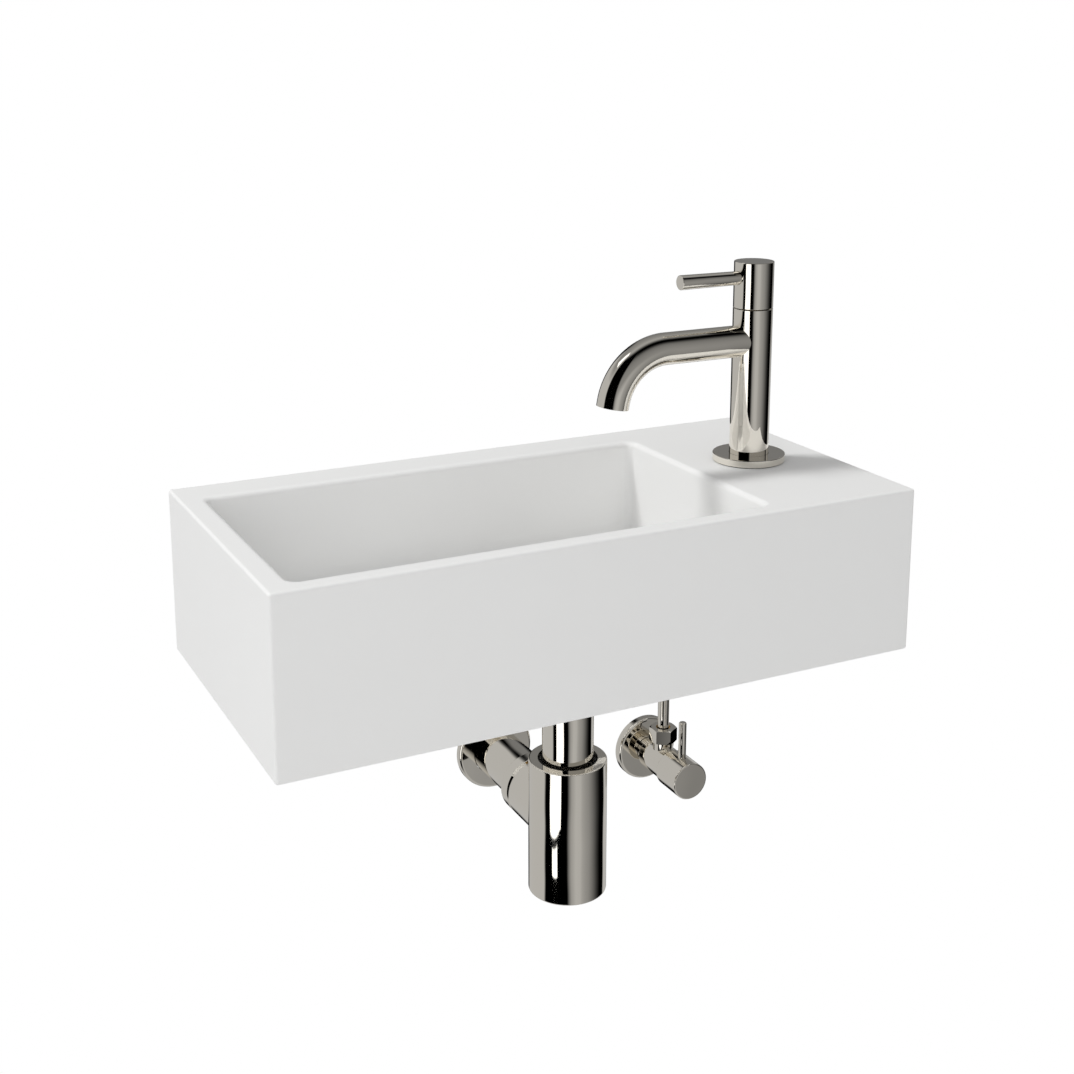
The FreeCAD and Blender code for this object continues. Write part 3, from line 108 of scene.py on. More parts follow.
class ThreadSizes(bpy.types.PropertyGroup):
    """Threads of the tap's shank, the waste's tail and the stop valve's inlet."""

    shank_radius: bpy.props.FloatProperty(
        name="Shank", description="Radius of the tap's shank", default=10.4 * MM, unit="LENGTH"
    )
    shank_pitch: bpy.props.FloatProperty(
        name="Shank pitch", description="Crest to crest on the shank",
        default=1.814 * MM, unit="LENGTH"
    )
    tail_radius: bpy.props.FloatProperty(
        name="Tail", description="Radius of the waste's tail", default=20.95 * MM, unit="LENGTH"
    )
    tail_pitch: bpy.props.FloatProperty(
        name="Tail pitch", description="Crest to crest on the tail",
        default=2.309 * MM, unit="LENGTH"
    )
    inlet_radius: bpy.props.FloatProperty(
        name="Inlet", description="Radius of the stop valve's inlet",
        default=MOUNTS["valve_inlet"]["r_mm"] * MM, unit="LENGTH"
    )
    inlet_pitch: bpy.props.FloatProperty(
        name="Inlet pitch", description="Crest to crest on the inlet",
        default=1.337 * MM, unit="LENGTH"
    )
    depth: bpy.props.FloatProperty(
        name="Depth", description="Crest to root, as a share of the pitch",
        default=0.58, subtype="FACTOR"
    )


class NutSizes(bpy.types.PropertyGroup):
    """Compression nut on top of the stop valve, and the nut that holds the drain pipe."""

    valve_turn: bpy.props.FloatProperty(
        name="Valve nut turn", description="Where the tightened valve nut has stopped",
        default=math.radians(30), subtype="ANGLE"
    )
    valve_mouth: bpy.props.FloatProperty(
        name="Valve nut mouth", description="Radius of its clearance round the tube",
        default=5.1 * MM, unit="LENGTH"
    )
    drain_chamfer_length: bpy.props.FloatProperty(
        name="Drain nut chamfer", description="Along the pipe, at the seam to the trap",
        default=2.6 * MM, unit="LENGTH"
    )
    drain_chamfer_depth: bpy.props.FloatProperty(
        name="Drain nut chamfer depth", description="How far the chamfer goes in at the seam",
        default=1.7 * MM, unit="LENGTH"
    )


class PinSizes(bpy.types.PropertyGroup):
    """Pin that turns the stop valve."""

    tip_edge: bpy.props.FloatProperty(
        name="Tip edge", description="Rounding round the flat tip",
        default=1.2 * MM, unit="LENGTH"
    )


class AeratorSizes(bpy.types.PropertyGroup):
    """Honeycomb in the spout's end."""

    radius: bpy.props.FloatProperty(
        name="Radius", description="Outer radius of the honeycomb",
        default=7.35 * MM, unit="LENGTH"
    )
    thickness: bpy.props.FloatProperty(
        name="Thickness", description="Along the water's path", default=2.0 * MM, unit="LENGTH"
    )
    pitch: bpy.props.FloatProperty(
        name="Pitch", description="From one cell to the next", default=1.9 * MM, unit="LENGTH"
    )
    web: bpy.props.FloatProperty(
        name="Web", description="Wall between two cells", default=0.35 * MM, unit="LENGTH"
    )
    tilt: bpy.props.FloatProperty(
        name="Tilt", description="Lean of the spout's end from upright",
        default=math.radians(10), subtype="ANGLE"
    )


class StageSettings(bpy.types.PropertyGroup):
    """Camera and light of the studio."""

    lens: bpy.props.FloatProperty(
        name="Lens", description="Focal length on a 36 mm sensor",
        default=52.64, subtype="DISTANCE_CAMERA"
    )
    shift: bpy.props.FloatProperty(
        name="Shift", description="How far the lens is lowered, in frame widths", default=-0.15
    )
    camera_place: bpy.props.FloatVectorProperty(
        name="Camera", description="Where the camera stands",
        default=(-0.4081, -0.9052, 0.3588), subtype="XYZ"
    )
    azimuth: bpy.props.FloatProperty(
        name="Azimuth", description="Camera round the object, 0 from the front",
        default=math.radians(-26.69), subtype="ANGLE"
    )
    elevation: bpy.props.FloatProperty(
        name="Elevation", description="How far the camera looks down",
        default=math.radians(12.46), subtype="ANGLE"
    )
    ambient: bpy.props.FloatProperty(
        name="Ambient", description="Strength of the light from all round",
        default=0.555, min=0.0
    )
    lean: bpy.props.FloatProperty(
        name="Lean", description="How much more of it comes from the front and below",
        default=0.21, min=0.0
    )
    key_power: bpy.props.FloatProperty(
        name="Key light", description="Power of the lamp high at the left, behind the basin",
        default=184.0, min=0.0, subtype="POWER"
    )
    fill_power: bpy.props.FloatProperty(
        name="Fill light", description="Power of the lamp at the left front",
        default=2.7, min=0.0, subtype="POWER"
    )


def linear(hex_colour):
    """An sRGB hex value as a linear colour, by the curve of the sRGB standard."""
    values = []
    for start in (0, 2, 4):
        level = int(hex_colour[start:start + 2], 16) / 255
        values.append(level / 12.92 if level <= 0.04045 else ((level + 0.055) / 1.055) ** 2.4)
    return (*values, 1.0)


def add_node(tree, kind, settings=None, values=None, links=None):
    """Adds a node, sets its options and socket values, and links other nodes' outputs into it."""
    node = tree.nodes.new(kind)
    for name, value in (settings or {}).items():
        setattr(node, name, value)
    for socket, value in (values or {}).items():
        node.inputs[socket].default_value = value
    for socket, source in (links or {}).items():
        tree.links.new(source, node.inputs[socket])
    return node


def per_metre(size_mm):
    """Texture scale that gives features of about this size."""
    return 1.0 / (size_mm * MM)


def empty_material(name):
    """A material with an empty node tree."""
    material = bpy.data.materials.new(name)
    material.use_nodes = True
    material.node_tree.nodes.clear()
    return material


def new_finish(slot, base, metallic):
    """Starts the finish of a slot: its node tree, with a plain shader, and its Object coordinates."""
    tree = empty_material(FINISHES[slot]).node_tree
    shader = add_node(
        tree, "ShaderNodeBsdfPrincipled", values={"Base Color": base, "Metallic": metallic}
    )
    add_node(tree, "ShaderNodeOutputMaterial", links={"Surface": shader.outputs["BSDF"]})
    coordinates = add_node(tree, "ShaderNodeTexCoord").outputs["Object"]
    return tree, shader, coordinates


def surface_grain(tree, shader, grain, roughness, depth_mm):
    """Lets one pattern set the gloss and raise the surface."""
    low, high = roughness
    gloss = add_node(
        tree, "ShaderNodeMapRange", values={"To Min": low, "To Max": high}, links={"Value": grain}
    )
    tree.links.new(gloss.outputs["Result"], shader.inputs["Roughness"])
    raised = add_node(
        tree, "ShaderNodeBump",
        values={"Strength": 1.0, "Distance": depth_mm * MM}, links={"Height": grain},
    )
    tree.links.new(raised.outputs["Normal"], shader.inputs["Normal"])


# Sanding leaves a fine tooth on the basin, drawn coarser than the real grit so that it shows
TOOTH_MM = 1.2
TOOTH_DEPTH_MM = 0.012
SANDED_ROUGHNESS = (0.44, 0.58)
# The gelcoat's thickness drifts over a hand's width, and its white loses a little where it is thin
DRIFT_MM = 90
THIN_GELCOAT = 0.985


def cast_resin(colours):
    """Cast mineral resin under a matt gelcoat: soft white, sanded, so no sharp reflections."""
    white = linear(colours.basin)
    tree, shader, place = new_finish("cast_basin", white, metallic=0.0)
    tooth = add_node(
        tree, "ShaderNodeTexNoise",
        values={"Scale": per_metre(TOOTH_MM), "Detail": 4.0}, links={"Vector": place},
    )
    surface_grain(tree, shader, tooth.outputs["Fac"], SANDED_ROUGHNESS, TOOTH_DEPTH_MM)
    drift = add_node(
        tree, "ShaderNodeTexNoise",
        values={"Scale": per_metre(DRIFT_MM), "Detail": 2.0}, links={"Vector": place},
    )
    thin = (*(THIN_GELCOAT * level for level in white[:3]), 1.0)
    tint = add_node(
        tree, "ShaderNodeMix", {"data_type": "RGBA"},
        values={"A": white, "B": thin}, links={"Factor": drift.outputs["Fac"]},
    )
    tree.links.new(tint.outputs["Result"], shader.inputs["Base Color"])


# Hand buffing leaves the nickel's surface a little uneven over a finger's width
BUFFING_MM = 24
BUFFING_DEPTH_MM = 0.5
MIRROR_ROUGHNESS = (0.02, 0.04)


def polished_nickel(colours):
    """Nickel plate on brass, buffed to a mirror: crisp reflections in a warm grey, slightly wavy."""
    tree, shader, place = new_finish("nickel", linear(colours.nickel), metallic=1.0)
    wave = add_node(
        tree, "ShaderNodeTexNoise",
        values={"Scale": per_metre(BUFFING_MM), "Detail": 0.0}, links={"Vector": place},
    )
    surface_grain(tree, shader, wave.outputs["Fac"], MIRROR_ROUGHNESS, BUFFING_DEPTH_MM)


# A wave texture repeats this often in one unit of its scale
WAVES_PER_SCALE = 20 / (2 * math.pi)
# Depth of the lathe's rings
RING_DEPTH_MM = 0.01


def turned_metal(slot, hex_colour, ring_mm, roughness):
    """Metal from the lathe: satin, with rings that are drawn coarser than real ones to show."""
    tree, shader, place = new_finish(slot, linear(hex_colour), metallic=1.0)
    rings = add_node(
        tree, "ShaderNodeTexWave", {"bands_direction": "Z"},
        values={"Scale": per_metre(ring_mm) / WAVES_PER_SCALE, "Distortion": 0.6, "Detail": 2.0},
        links={"Vector": place},
    )
    surface_grain(tree, shader, rings.outputs["Fac"], roughness, RING_DEPTH_MM)


def moulded(slot, hex_colour, grain_mm, roughness, depth_mm):
    """A moulded or pressed piece: one colour, with a grain drawn coarser than its mould's to show."""
    tree, shader, place = new_finish(slot, linear(hex_colour), metallic=0.0)
    grain = add_node(
        tree, "ShaderNodeTexNoise",
        values={"Scale": per_metre(grain_mm), "Detail": 5.0}, links={"Vector": place},
    )
    surface_grain(tree, shader, grain.outputs["Fac"], roughness, depth_mm)


def make_finishes(colours):
    """All finishes of the record's slots."""
    cast_resin(colours)
    polished_nickel(colours)
    # Bare brass: yellow, with a soft shine along the rings
    turned_metal("raw_brass", colours.brass, ring_mm=0.5, roughness=(0.2, 0.34))
    # Zinc plate: cool grey and duller than the nickel
    turned_metal("zinced_steel", colours.zinc, ring_mm=1.0, roughness=(0.26, 0.42))
    # Rubber: near black, with a dry skin and hardly any shine
    moulded("black_rubber", colours.rubber, grain_mm=0.6, roughness=(0.7, 0.9), depth_mm=0.004)
    # Lapped ceramic: ivory, smooth and glossy
    moulded("disc_ceramic", colours.alumina, grain_mm=0.8, roughness=(0.18, 0.3), depth_mm=0.002)
    # Acetal: mid grey with a waxy shine
    moulded("grey_plastic", colours.acetal, grain_mm=0.5, roughness=(0.35, 0.5), depth_mm=0.01)
    # Fluoropolymer: milky white, waxy and dull
    moulded(
        "white_plastic", colours.fluoropolymer, grain_mm=0.7, roughness=(0.4, 0.55), depth_mm=0.01
    )


def finish(slot):
    """The finish of a slot, made by the finishes operator."""
    return bpy.data.materials[FINISHES[slot]]


class HAND_BASIN_OT_finishes(bpy.types.Operator):
    """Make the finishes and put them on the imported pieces."""

    bl_idname = "hand_basin.finishes"
    bl_label = "Finishes"

    def execute(self, context):
        make_finishes(context.scene.basin_colours)
        for subpart in frame["record"]["subparts"]:
            for slot in frame["nodes"][subpart["node"]].material_slots:
                slot.material = finish(subpart["material_slot"])
        return {"FINISHED"}


def body_of(node):
    """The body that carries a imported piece."""
    bodies = frame["record"]["behaviour"]["bodies"]
    return next(body for body, nodes in bodies.items() if node in nodes)


def box_of(node):
    """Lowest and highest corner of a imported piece."""
    low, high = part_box(node)
    return Vector(low), Vector(high)


def add_piece(name, mesh, node, slot):
    """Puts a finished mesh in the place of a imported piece."""
    mesh.materials.clear()
    mesh.materials.append(finish(slot))
    piece = bpy.data.objects.new(name, mesh)
    bpy.context.scene.collection.objects.link(piece)
    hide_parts(node)
    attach(piece, body_of(node))


# Points this near count as one, or as lying on a surface
SAME_POINT = 0.002 * MM
ON_SURFACE = 0.02 * MM
# Faces that meet at more than this angle have a sharp edge between them
SHARP_EDGE = math.radians(28)


def merged_copy(node):
    """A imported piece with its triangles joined, and its normals kept in a layer of its corners."""
    mesh = frame["nodes"][node].data
    shape = bmesh.new()
    shape.from_mesh(mesh)
    layer = shape.loops.layers.float_vector.new("normal")
    normals = mesh.corner_normals
    for face, polygon in zip(shape.faces, mesh.polygons):
        for loop, index in zip(face.loops, polygon.loop_indices):
            loop[layer] = normals[index].vector
    bmesh.ops.remove_doubles(shape, verts=shape.verts, dist=SAME_POINT)
    return shape


def mesh_of(name, shape):
    """A mesh of a changed copy: packed corners keep their normals, the others get new ones."""
    for face in shape.faces:
        face.smooth = True
    for edge in shape.edges:
        edge.smooth = len(edge.link_faces) == 2 and edge.calc_face_angle() < SHARP_EDGE
    mesh = bpy.data.meshes.new(name)
    shape.to_mesh(mesh)
    shape.free()
    kept = [corner.vector.copy() for corner in mesh.attributes["normal"].data]
    mesh.attributes.remove(mesh.attributes["normal"])
    mesh.normals_split_custom_set(kept)
    return mesh


# The two axes across each axis
ACROSS = ((1, 2), (2, 0), (0, 1))
# Rows of a thread in one pitch: two along the crest and two along the root
CREST_AND_ROOT = (0, 0, 1, 1)
# A thread's rows start this many pitches before its wall, so that they cover its foot all round
EARLY_PITCHES = 2


def round_wall(shape, centre, along, radius):
    """The points of a round wall about an axis, those of its foot ring, and its two ends."""
    across, up = ACROSS[along]
    wall = []
    for vert in shape.verts:
        off_axis = math.hypot(vert.co[across] - centre[across], vert.co[up] - centre[up])
        if abs(off_axis - radius) < ON_SURFACE:
            wall.append(vert)
    low = min(vert.co[along] for vert in wall)
    high = max(vert.co[along] for vert in wall)
    foot = [vert for vert in wall if vert.co[along] - low < ON_SURFACE]
    top = [vert for vert in wall if high - vert.co[along] < ON_SURFACE]
    if len(foot) != len(top) or len(foot) < 3:
        raise ValueError("the wall to be threaded has no matching end rings")
    return set(wall), foot, low, high


def cut_thread(shape, centre, along, radius, pitch, depth):
    """Turns a plain round wall of a shape, of a given radius about an axis, into a screw thread."""
    across, up = ACROSS[along]
    wall, foot, low, high = round_wall(shape, centre, along, radius)
    # The middle of an end ring is exact, where the box of the whole piece is only near
    centre = sum((vert.co for vert in foot), Vector()) / len(foot)
    ring = sorted(
        math.atan2(vert.co[up] - centre[up], vert.co[across] - centre[across]) % math.tau
        for vert in foot
    )
    plain = [face for face in shape.faces if wall.issuperset(face.verts)]
    bmesh.ops.delete(shape, geom=plain, context="FACES")

    rows = len(CREST_AND_ROOT)
    last = rows * math.ceil((high - low) / pitch + EARLY_PITCHES)

    def point(turn, row):
        # Rows past either end of the wall fall together there, and the thread runs out before it
        height = low + pitch * (row / rows + turn / math.tau - EARLY_PITCHES)
        height = min(max(height, low), high)
        run_out = min(1.0, (height - low) / pitch, (high - height) / pitch)
        reach = radius - depth * run_out * CREST_AND_ROOT[row % rows]
        place = Vector((0.0, 0.0, 0.0))
        place[along] = height
        place[across] = centre[across] + reach * math.cos(turn)
        place[up] = centre[up] + reach * math.sin(turn)
        return shape.verts.new(place)

    columns = [[point(turn, row) for row in range(last + rows + 1)] for turn in ring]
    for index, column in enumerate(columns):
        # The last column meets the first one a whole pitch further up
        closing = index == len(columns) - 1
        other = columns[0][rows:] if closing else columns[index + 1]
        for row in range(last):
            shape.faces.new((column[row], other[row], other[row + 1], column[row + 1]))
    bmesh.ops.remove_doubles(shape, verts=shape.verts, dist=SAME_POINT)
    loose = [vert for vert in shape.verts if not vert.link_faces]
    bmesh.ops.delete(shape, geom=loose, context="VERTS")


def threaded_mesh(name, node, centre, along, radius, pitch, depth):
    """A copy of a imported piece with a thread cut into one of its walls."""
    shape = merged_copy(node)
    cut_thread(shape, centre, along, radius, pitch, depth)
    bmesh.ops.recalc_face_normals(shape, faces=shape.faces)
    return mesh_of(name, shape)


class HAND_BASIN_OT_threads(bpy.types.Operator):
    """Cut the threads of the tap's shank, the waste's tail and the stop valve's inlet."""

    bl_idname = "hand_basin.threads"
    bl_label = "Threads"

    def execute(self, context):
        sizes = context.scene.basin_threads
        upright, out_from_wall = 2, 1
        for node, along, radius, pitch in (
            ("tap_body", upright, sizes.shank_radius, sizes.shank_pitch),
            ("waste_body", upright, sizes.tail_radius, sizes.tail_pitch),
            ("valve_body", out_from_wall, sizes.inlet_radius, sizes.inlet_pitch),
        ):
            low, high = box_of(node)
            half_width = (high.x - low.x) / 2
            # The outlet boss makes the valve's box taller, so its axis is found from below
            centre = low + Vector((half_width, half_width, half_width))
            name = "threaded_" + node
            mesh = threaded_mesh(name, node, centre, along, radius, pitch, sizes.depth * pitch)
            add_piece(name, mesh, node, "nickel")
        return {"FINISHED"}


def valve_nut_mesh(name, node, sizes):
    """The stop valve's nut, turned to where it stands when tight, with a mouth clear of the tube."""
    low, high = box_of(node)
    middle = (low + high) / 2
    shape = merged_copy(node)
    mouth = [vert for vert in shape.verts if (vert.co - middle).xy.length < sizes.valve_mouth]
    if not mouth:
        raise ValueError("the valve nut has no bore to widen")
    for vert in mouth:
        vert.co.xy = middle.xy + (vert.co - middle).xy.normalized() * sizes.valve_mouth
    turn = Matrix.Rotation(sizes.valve_turn, 4, "Z")
    layer = shape.loops.layers.float_vector["normal"]
    for face in shape.faces:
        for loop in face.loops:
            loop[layer] = turn @ loop[layer]
    shape.transform(Matrix.Translation(middle) @ turn @ Matrix.Translation(-middle))
    return mesh_of(name, shape)


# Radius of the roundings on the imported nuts
PACKED_ROUNDING = 0.5 * MM


def drain_nut_mesh(name, node, sizes):
    """The nut of the drain pipe with a long chamfer at its seam to the trap."""
    low, high = box_of(node)
    middle = (low + high) / 2
    radius = (high.z - low.z) / 2
    shape = merged_copy(node)
    near = PACKED_ROUNDING + ON_SURFACE
    chamfer = set()
    for vert in shape.verts:
        out = Vector((vert.co.x - middle.x, 0.0, vert.co.z - middle.z))
        back = vert.co.y - low.y
        if radius - out.length < near and back < near:
            share = back / PACKED_ROUNDING
            out = out.normalized() * (radius - sizes.drain_chamfer_depth * (1 - share))
            along = low.y + sizes.drain_chamfer_length * share
            vert.co = (middle.x + out.x, along, middle.z + out.z)
            chamfer.add(vert)
    if not chamfer:
        raise ValueError("the drain nut has no rounding to turn into a chamfer")
    # The rounding has become a cone, so its corners lose their packed normals
    layer = shape.loops.layers.float_vector["normal"]
    for face in shape.faces:
        if chamfer.issuperset(face.verts):
            for loop in face.loops:
                loop[layer] = (0.0, 0.0, 0.0)
    return mesh_of(name, shape)


class HAND_BASIN_OT_nuts(bpy.types.Operator):
    """Make the stop valve's nut and the drain pipe's nut as they look when tightened."""

    bl_idname = "hand_basin.nuts"
    bl_label = "Nuts"

    def execute(self, context):
        sizes = context.scene.basin_nuts
        for name, node, make in (
            ("tightened_valve_nut", "valve_outlet_nut", valve_nut_mesh),
            ("chamfered_drain_nut", "outlet_nut", drain_nut_mesh),
        ):
            add_piece(name, make(name, node, sizes), node, "nickel")
        return {"FINISHED"}


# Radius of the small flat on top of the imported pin's dome
PACKED_TIP = 0.15 * MM


def valve_pin_mesh(name, node, sizes):
    """The stop valve's pin with a flat tip: its dome is drawn out towards the corner."""
    low, high = box_of(node)
    axis = (low + high).xy / 2
    radius = (high.x - low.x) / 2
    dome = radius - PACKED_TIP
    share = sizes.tip_edge / dome
    shape = merged_copy(node)
    for vert in shape.verts:
        below = high.z - vert.co.z
        out = vert.co.xy - axis
        if below < dome + ON_SURFACE:
            vert.co.xy = axis + out.normalized() * (radius - share * (radius - out.length))
            vert.co.z = high.z - share * below
    return mesh_of(name, shape)


class HAND_BASIN_OT_pin(bpy.types.Operator):
    """Make the pin of the stop valve with its flat tip."""

    bl_idname = "hand_basin.pin"
    bl_label = "Pin"

    def execute(self, context):
        name, node = "flat_tipped_pin", "valve_pin"
        add_piece(name, valve_pin_mesh(name, node, context.scene.basin_pin), node, "nickel")
        return {"FINISHED"}


# Points of the honeycomb's lattice along each side, more than its radius takes
LATTICE_POINTS = 13
# Middles of the outermost cells stay this many pitches inside the rim
WHOLE_CELL = 0.72
# Sides of a cell and of the round plate
CELL_SIDES = 6
PLATE_SIDES = 96


def honeycomb_sizes(sizes):
    """The inputs of the honeycomb's tree."""
    row_step = sizes.pitch * math.sqrt(3) / 2
    return {
        "Radius": sizes.radius,
        "Thickness": sizes.thickness,
        "Lattice Width": sizes.pitch * (LATTICE_POINTS - 1),
        "Lattice Depth": row_step * (LATTICE_POINTS - 1),
        "Row Step": row_step,
        "Half Pitch": sizes.pitch / 2,
        "Cell Radius": (sizes.pitch - sizes.web) / math.sqrt(3),
        "Cutter Depth": sizes.thickness * 2,
        "Reach": sizes.radius - WHOLE_CELL * sizes.pitch,
    }


def honeycomb_tree(names, material):
    """Geometry nodes that cut a lattice of hexagons out of a round plate."""
    tree = bpy.data.node_groups.new("honeycomb", "GeometryNodeTree")
    for name in names:
        tree.interface.new_socket(name, in_out="INPUT", socket_type="NodeSocketFloat")
    tree.interface.new_socket("Geometry", in_out="OUTPUT", socket_type="NodeSocketGeometry")
    size = add_node(tree, "NodeGroupInput").outputs
    lattice = add_node(
        tree, "GeometryNodeMeshGrid",
        values={"Vertices X": LATTICE_POINTS, "Vertices Y": LATTICE_POINTS},
        links={"Size X": size["Lattice Width"], "Size Y": size["Lattice Depth"]},
    )
    # Every other row stands half a pitch aside
    place = add_node(tree, "GeometryNodeInputPosition").outputs["Position"]
    height = add_node(tree, "ShaderNodeSeparateXYZ", links={"Vector": place}).outputs["Y"]
    rows = add_node(
        tree, "ShaderNodeMath", {"operation": "DIVIDE"}, links={0: height, 1: size["Row Step"]}
    ).outputs["Value"]
    row = add_node(
        tree, "ShaderNodeMath", {"operation": "ROUND"}, links={0: rows}
    ).outputs["Value"]
    odd = add_node(
        tree, "ShaderNodeMath", {"operation": "FLOORED_MODULO"}, values={1: 2.0}, links={0: row}
    ).outputs["Value"]
    aside = add_node(
        tree, "ShaderNodeMath", {"operation": "MULTIPLY"}, links={0: odd, 1: size["Half Pitch"]}
    ).outputs["Value"]
    offset = add_node(tree, "ShaderNodeCombineXYZ", links={"X": aside})
    staggered = add_node(
        tree, "GeometryNodeSetPosition",
        links={"Geometry": lattice.outputs["Mesh"], "Offset": offset.outputs["Vector"]},
    )
    # Only whole cells stay inside the rim
    away = add_node(
        tree, "ShaderNodeVectorMath", {"operation": "LENGTH"}, links={0: place}
    ).outputs["Value"]
    outside = add_node(
        tree, "ShaderNodeMath", {"operation": "GREATER_THAN"}, links={0: away, 1: size["Reach"]}
    ).outputs["Value"]
    cells = add_node(
        tree, "GeometryNodeDeleteGeometry", {"domain": "POINT"},
        links={"Geometry": staggered.outputs["Geometry"], "Selection": outside},
    )
    hexagon = add_node(
        tree, "GeometryNodeMeshCylinder", values={"Vertices": CELL_SIDES},
        links={"Radius": size["Cell Radius"], "Depth": size["Cutter Depth"]},
    )
    # Turned by half a side, the cells stand flat to flat along a row
    cutters = add_node(
        tree, "GeometryNodeInstanceOnPoints", values={"Rotation": (0.0, 0.0, math.pi / CELL_SIDES)},
        links={"Points": cells.outputs["Geometry"], "Instance": hexagon.outputs["Mesh"]},
    )
    plate = add_node(
        tree, "GeometryNodeMeshCylinder", values={"Vertices": PLATE_SIDES},
        links={"Radius": size["Radius"], "Depth": size["Thickness"]},
    )
    cut = add_node(
        tree, "GeometryNodeMeshBoolean", {"operation": "DIFFERENCE", "solver": "EXACT"},
        links={"Mesh 1": plate.outputs["Mesh"], "Mesh 2": cutters.outputs["Instances"]},
    )
    real = add_node(tree, "GeometryNodeRealizeInstances", links={"Geometry": cut.outputs["Mesh"]})
    dressed = add_node(
        tree, "GeometryNodeSetMaterial", values={"Material": material},
        links={"Geometry": real.outputs["Geometry"]},
    )
    add_node(tree, "NodeGroupOutput", links={"Geometry": dressed.outputs["Geometry"]})
    return tree


def grown_mesh(name, tree, sizes):
    """The plain mesh that a tree of geometry nodes makes from its named sizes."""
    holder = bpy.data.objects.new(name, bpy.data.meshes.new(name))
    bpy.context.scene.collection.objects.link(holder)
    modifier = holder.modifiers.new(name, "NODES")
    modifier.node_group = tree
    for socket in tree.interface.items_tree:
        if socket.in_out == "INPUT":
            modifier[socket.identifier] = sizes[socket.name]
    grown = holder.evaluated_get(bpy.context.evaluated_depsgraph_get())
    mesh = bpy.data.meshes.new_from_object(grown)
    mesh.name = name
    bpy.data.objects.remove(holder)
    return mesh


class HAND_BASIN_OT_aerator(bpy.types.Operator):
    """Make the honeycomb of the aerator in the spout's end."""

    bl_idname = "hand_basin.aerator"
    bl_label = "Aerator"

    def execute(self, context):
        sizes = context.scene.basin_aerator
        inputs = honeycomb_sizes(sizes)
        tree = honeycomb_tree(inputs, finish("grey_plastic"))
        mesh = grown_mesh("aerator_honeycomb", tree, inputs)
        low, high = box_of("aerator_grid")
        middle = (low + high) / 2
        mesh.transform(Matrix.Translation(middle) @ Matrix.Rotation(sizes.tilt, 4, "Y"))
        add_piece("aerator_honeycomb", mesh, "aerator_grid", "grey_plastic")
        return {"FINISHED"}


WHITE = linear("FFFFFF")
# Height of the studio floor from the wall fixings, how far it reaches, and its grey
FLOOR_LEVEL = -0.95
FLOOR_REACH = 4.0
FLOOR_GREY = linear("F3F3F3")
# Where more of the light from all round comes from: the front and below, and a little from the left
LEAN_TOWARDS = (-0.3, -0.73, -0.61)
# The key lamp stands high at the left behind the basin, the fill lamp low at the left front
KEY_PLACE = (-2.66, 1.64, 5.17)
KEY_SIZE = 1.1
FILL_PLACE = (-0.8, -1.3, 0.35)
FILL_SIZE = 0.8
# Width of the camera's sensor
SENSOR_MM = 36.0
# Reflections in the metal come from a tent round the object; the lamps point at its middle
TENT_CENTRE = Vector((0.08, -0.1, 0.05))
TENT_RADIUS = 1.2
TENT_STRENGTH = 0.88
# Degrees from one corner of its mesh to the next
TENT_STEP = 2
# Brightness of its screens by azimuth, in degrees from the front, minus to the left: pale at the
# back but for a dark flag near its middle, black round the soft box at the left, and in front a
# sheet that fades to the right
SCREENS = (
    (-180, 0.08), (-171, 0.57), (-97, 0.57), (-93, 0.0), (-31, 0.0), (-27, 0.18), (-20, 0.4),
    (-7, 0.55), (6, 0.53), (13, 0.43), (23, 0.36), (33, 0.31), (43, 0.22), (53, 0.13), (63, 0.05),
    (73, 0.01), (80, 0.0), (98, 0.0), (104, 0.57), (138, 0.57), (143, 0.0), (175, 0.0), (180, 0.08),
)
# Brightness of its roof, by degrees from the back over the top to the front, with a dark slot past
# the middle
ROOF = (
    (0, 0.22), (15, 0.22), (30, 0.22), (49, 0.27), (61, 0.31), (71, 0.37), (81, 0.44), (89, 0.32),
    (97, 0.08), (103, 0.0), (114, 0.0), (121, 0.05), (128, 0.15), (135, 0.21), (145, 0.25),
    (160, 0.29), (180, 0.3),
)
# The screens' upper edge by azimuth, in degrees of elevation, and how far they take to turn into
# the roof
EAVES = (
    (-180, 32), (-174, 30), (-97, 30), (-94, 60), (-30, 60), (-26, 3), (98, 3), (104, -10),
    (150, -10), (170, 25), (180, 32),
)
EAVES_DEPTH = 13
# Below, the screens turn into a ground sheet between these elevations; it lies just above the floor
SCREENS_END = -48
GROUND_START = -62
GROUND_LEVEL = 0.5
GROUND_CLEARANCE = 0.01
# Glowing cards just inside the tent, by azimuth and elevation in degrees: the soft box at the left
# with a strip below it, and one that stands for the key lamp in reflections
CARDS = (
    ("studio_soft_box", (-79, -49), (-33.9, 2)),
    ("studio_soft_box_foot", (-72, -58), (-37.0, -35.4)),
    ("studio_key_card", (-134, -110), (48, 66)),
)
CARD_RADIUS = 0.96 * TENT_RADIUS
CARD_STRENGTH = 1.5


def stage_mesh(name, corners, faces, material):
    """A card, floor or screen of the studio."""
    mesh = bpy.data.meshes.new(name)
    mesh.from_pydata(corners, [], faces)
    mesh.materials.append(material)
    item = bpy.data.objects.new(name, mesh)
    bpy.context.scene.collection.objects.link(item)
    return item


def white_where_seen(tree, lit, white):
    """Mixes the lit shader with plain white for camera, glossy and transmission rays."""
    light_path = add_node(tree, "ShaderNodeLightPath")
    seen = light_path.outputs["Is Camera Ray"]
    for ray in ("Is Glossy Ray", "Is Transmission Ray"):
        seen = add_node(
            tree, "ShaderNodeMath", {"operation": "MAXIMUM"},
            links={0: seen, 1: light_path.outputs[ray]},
        ).outputs["Value"]
    mixed = add_node(tree, "ShaderNodeMixShader", links={0: seen, 1: lit, 2: white})
    return mixed.outputs["Shader"]


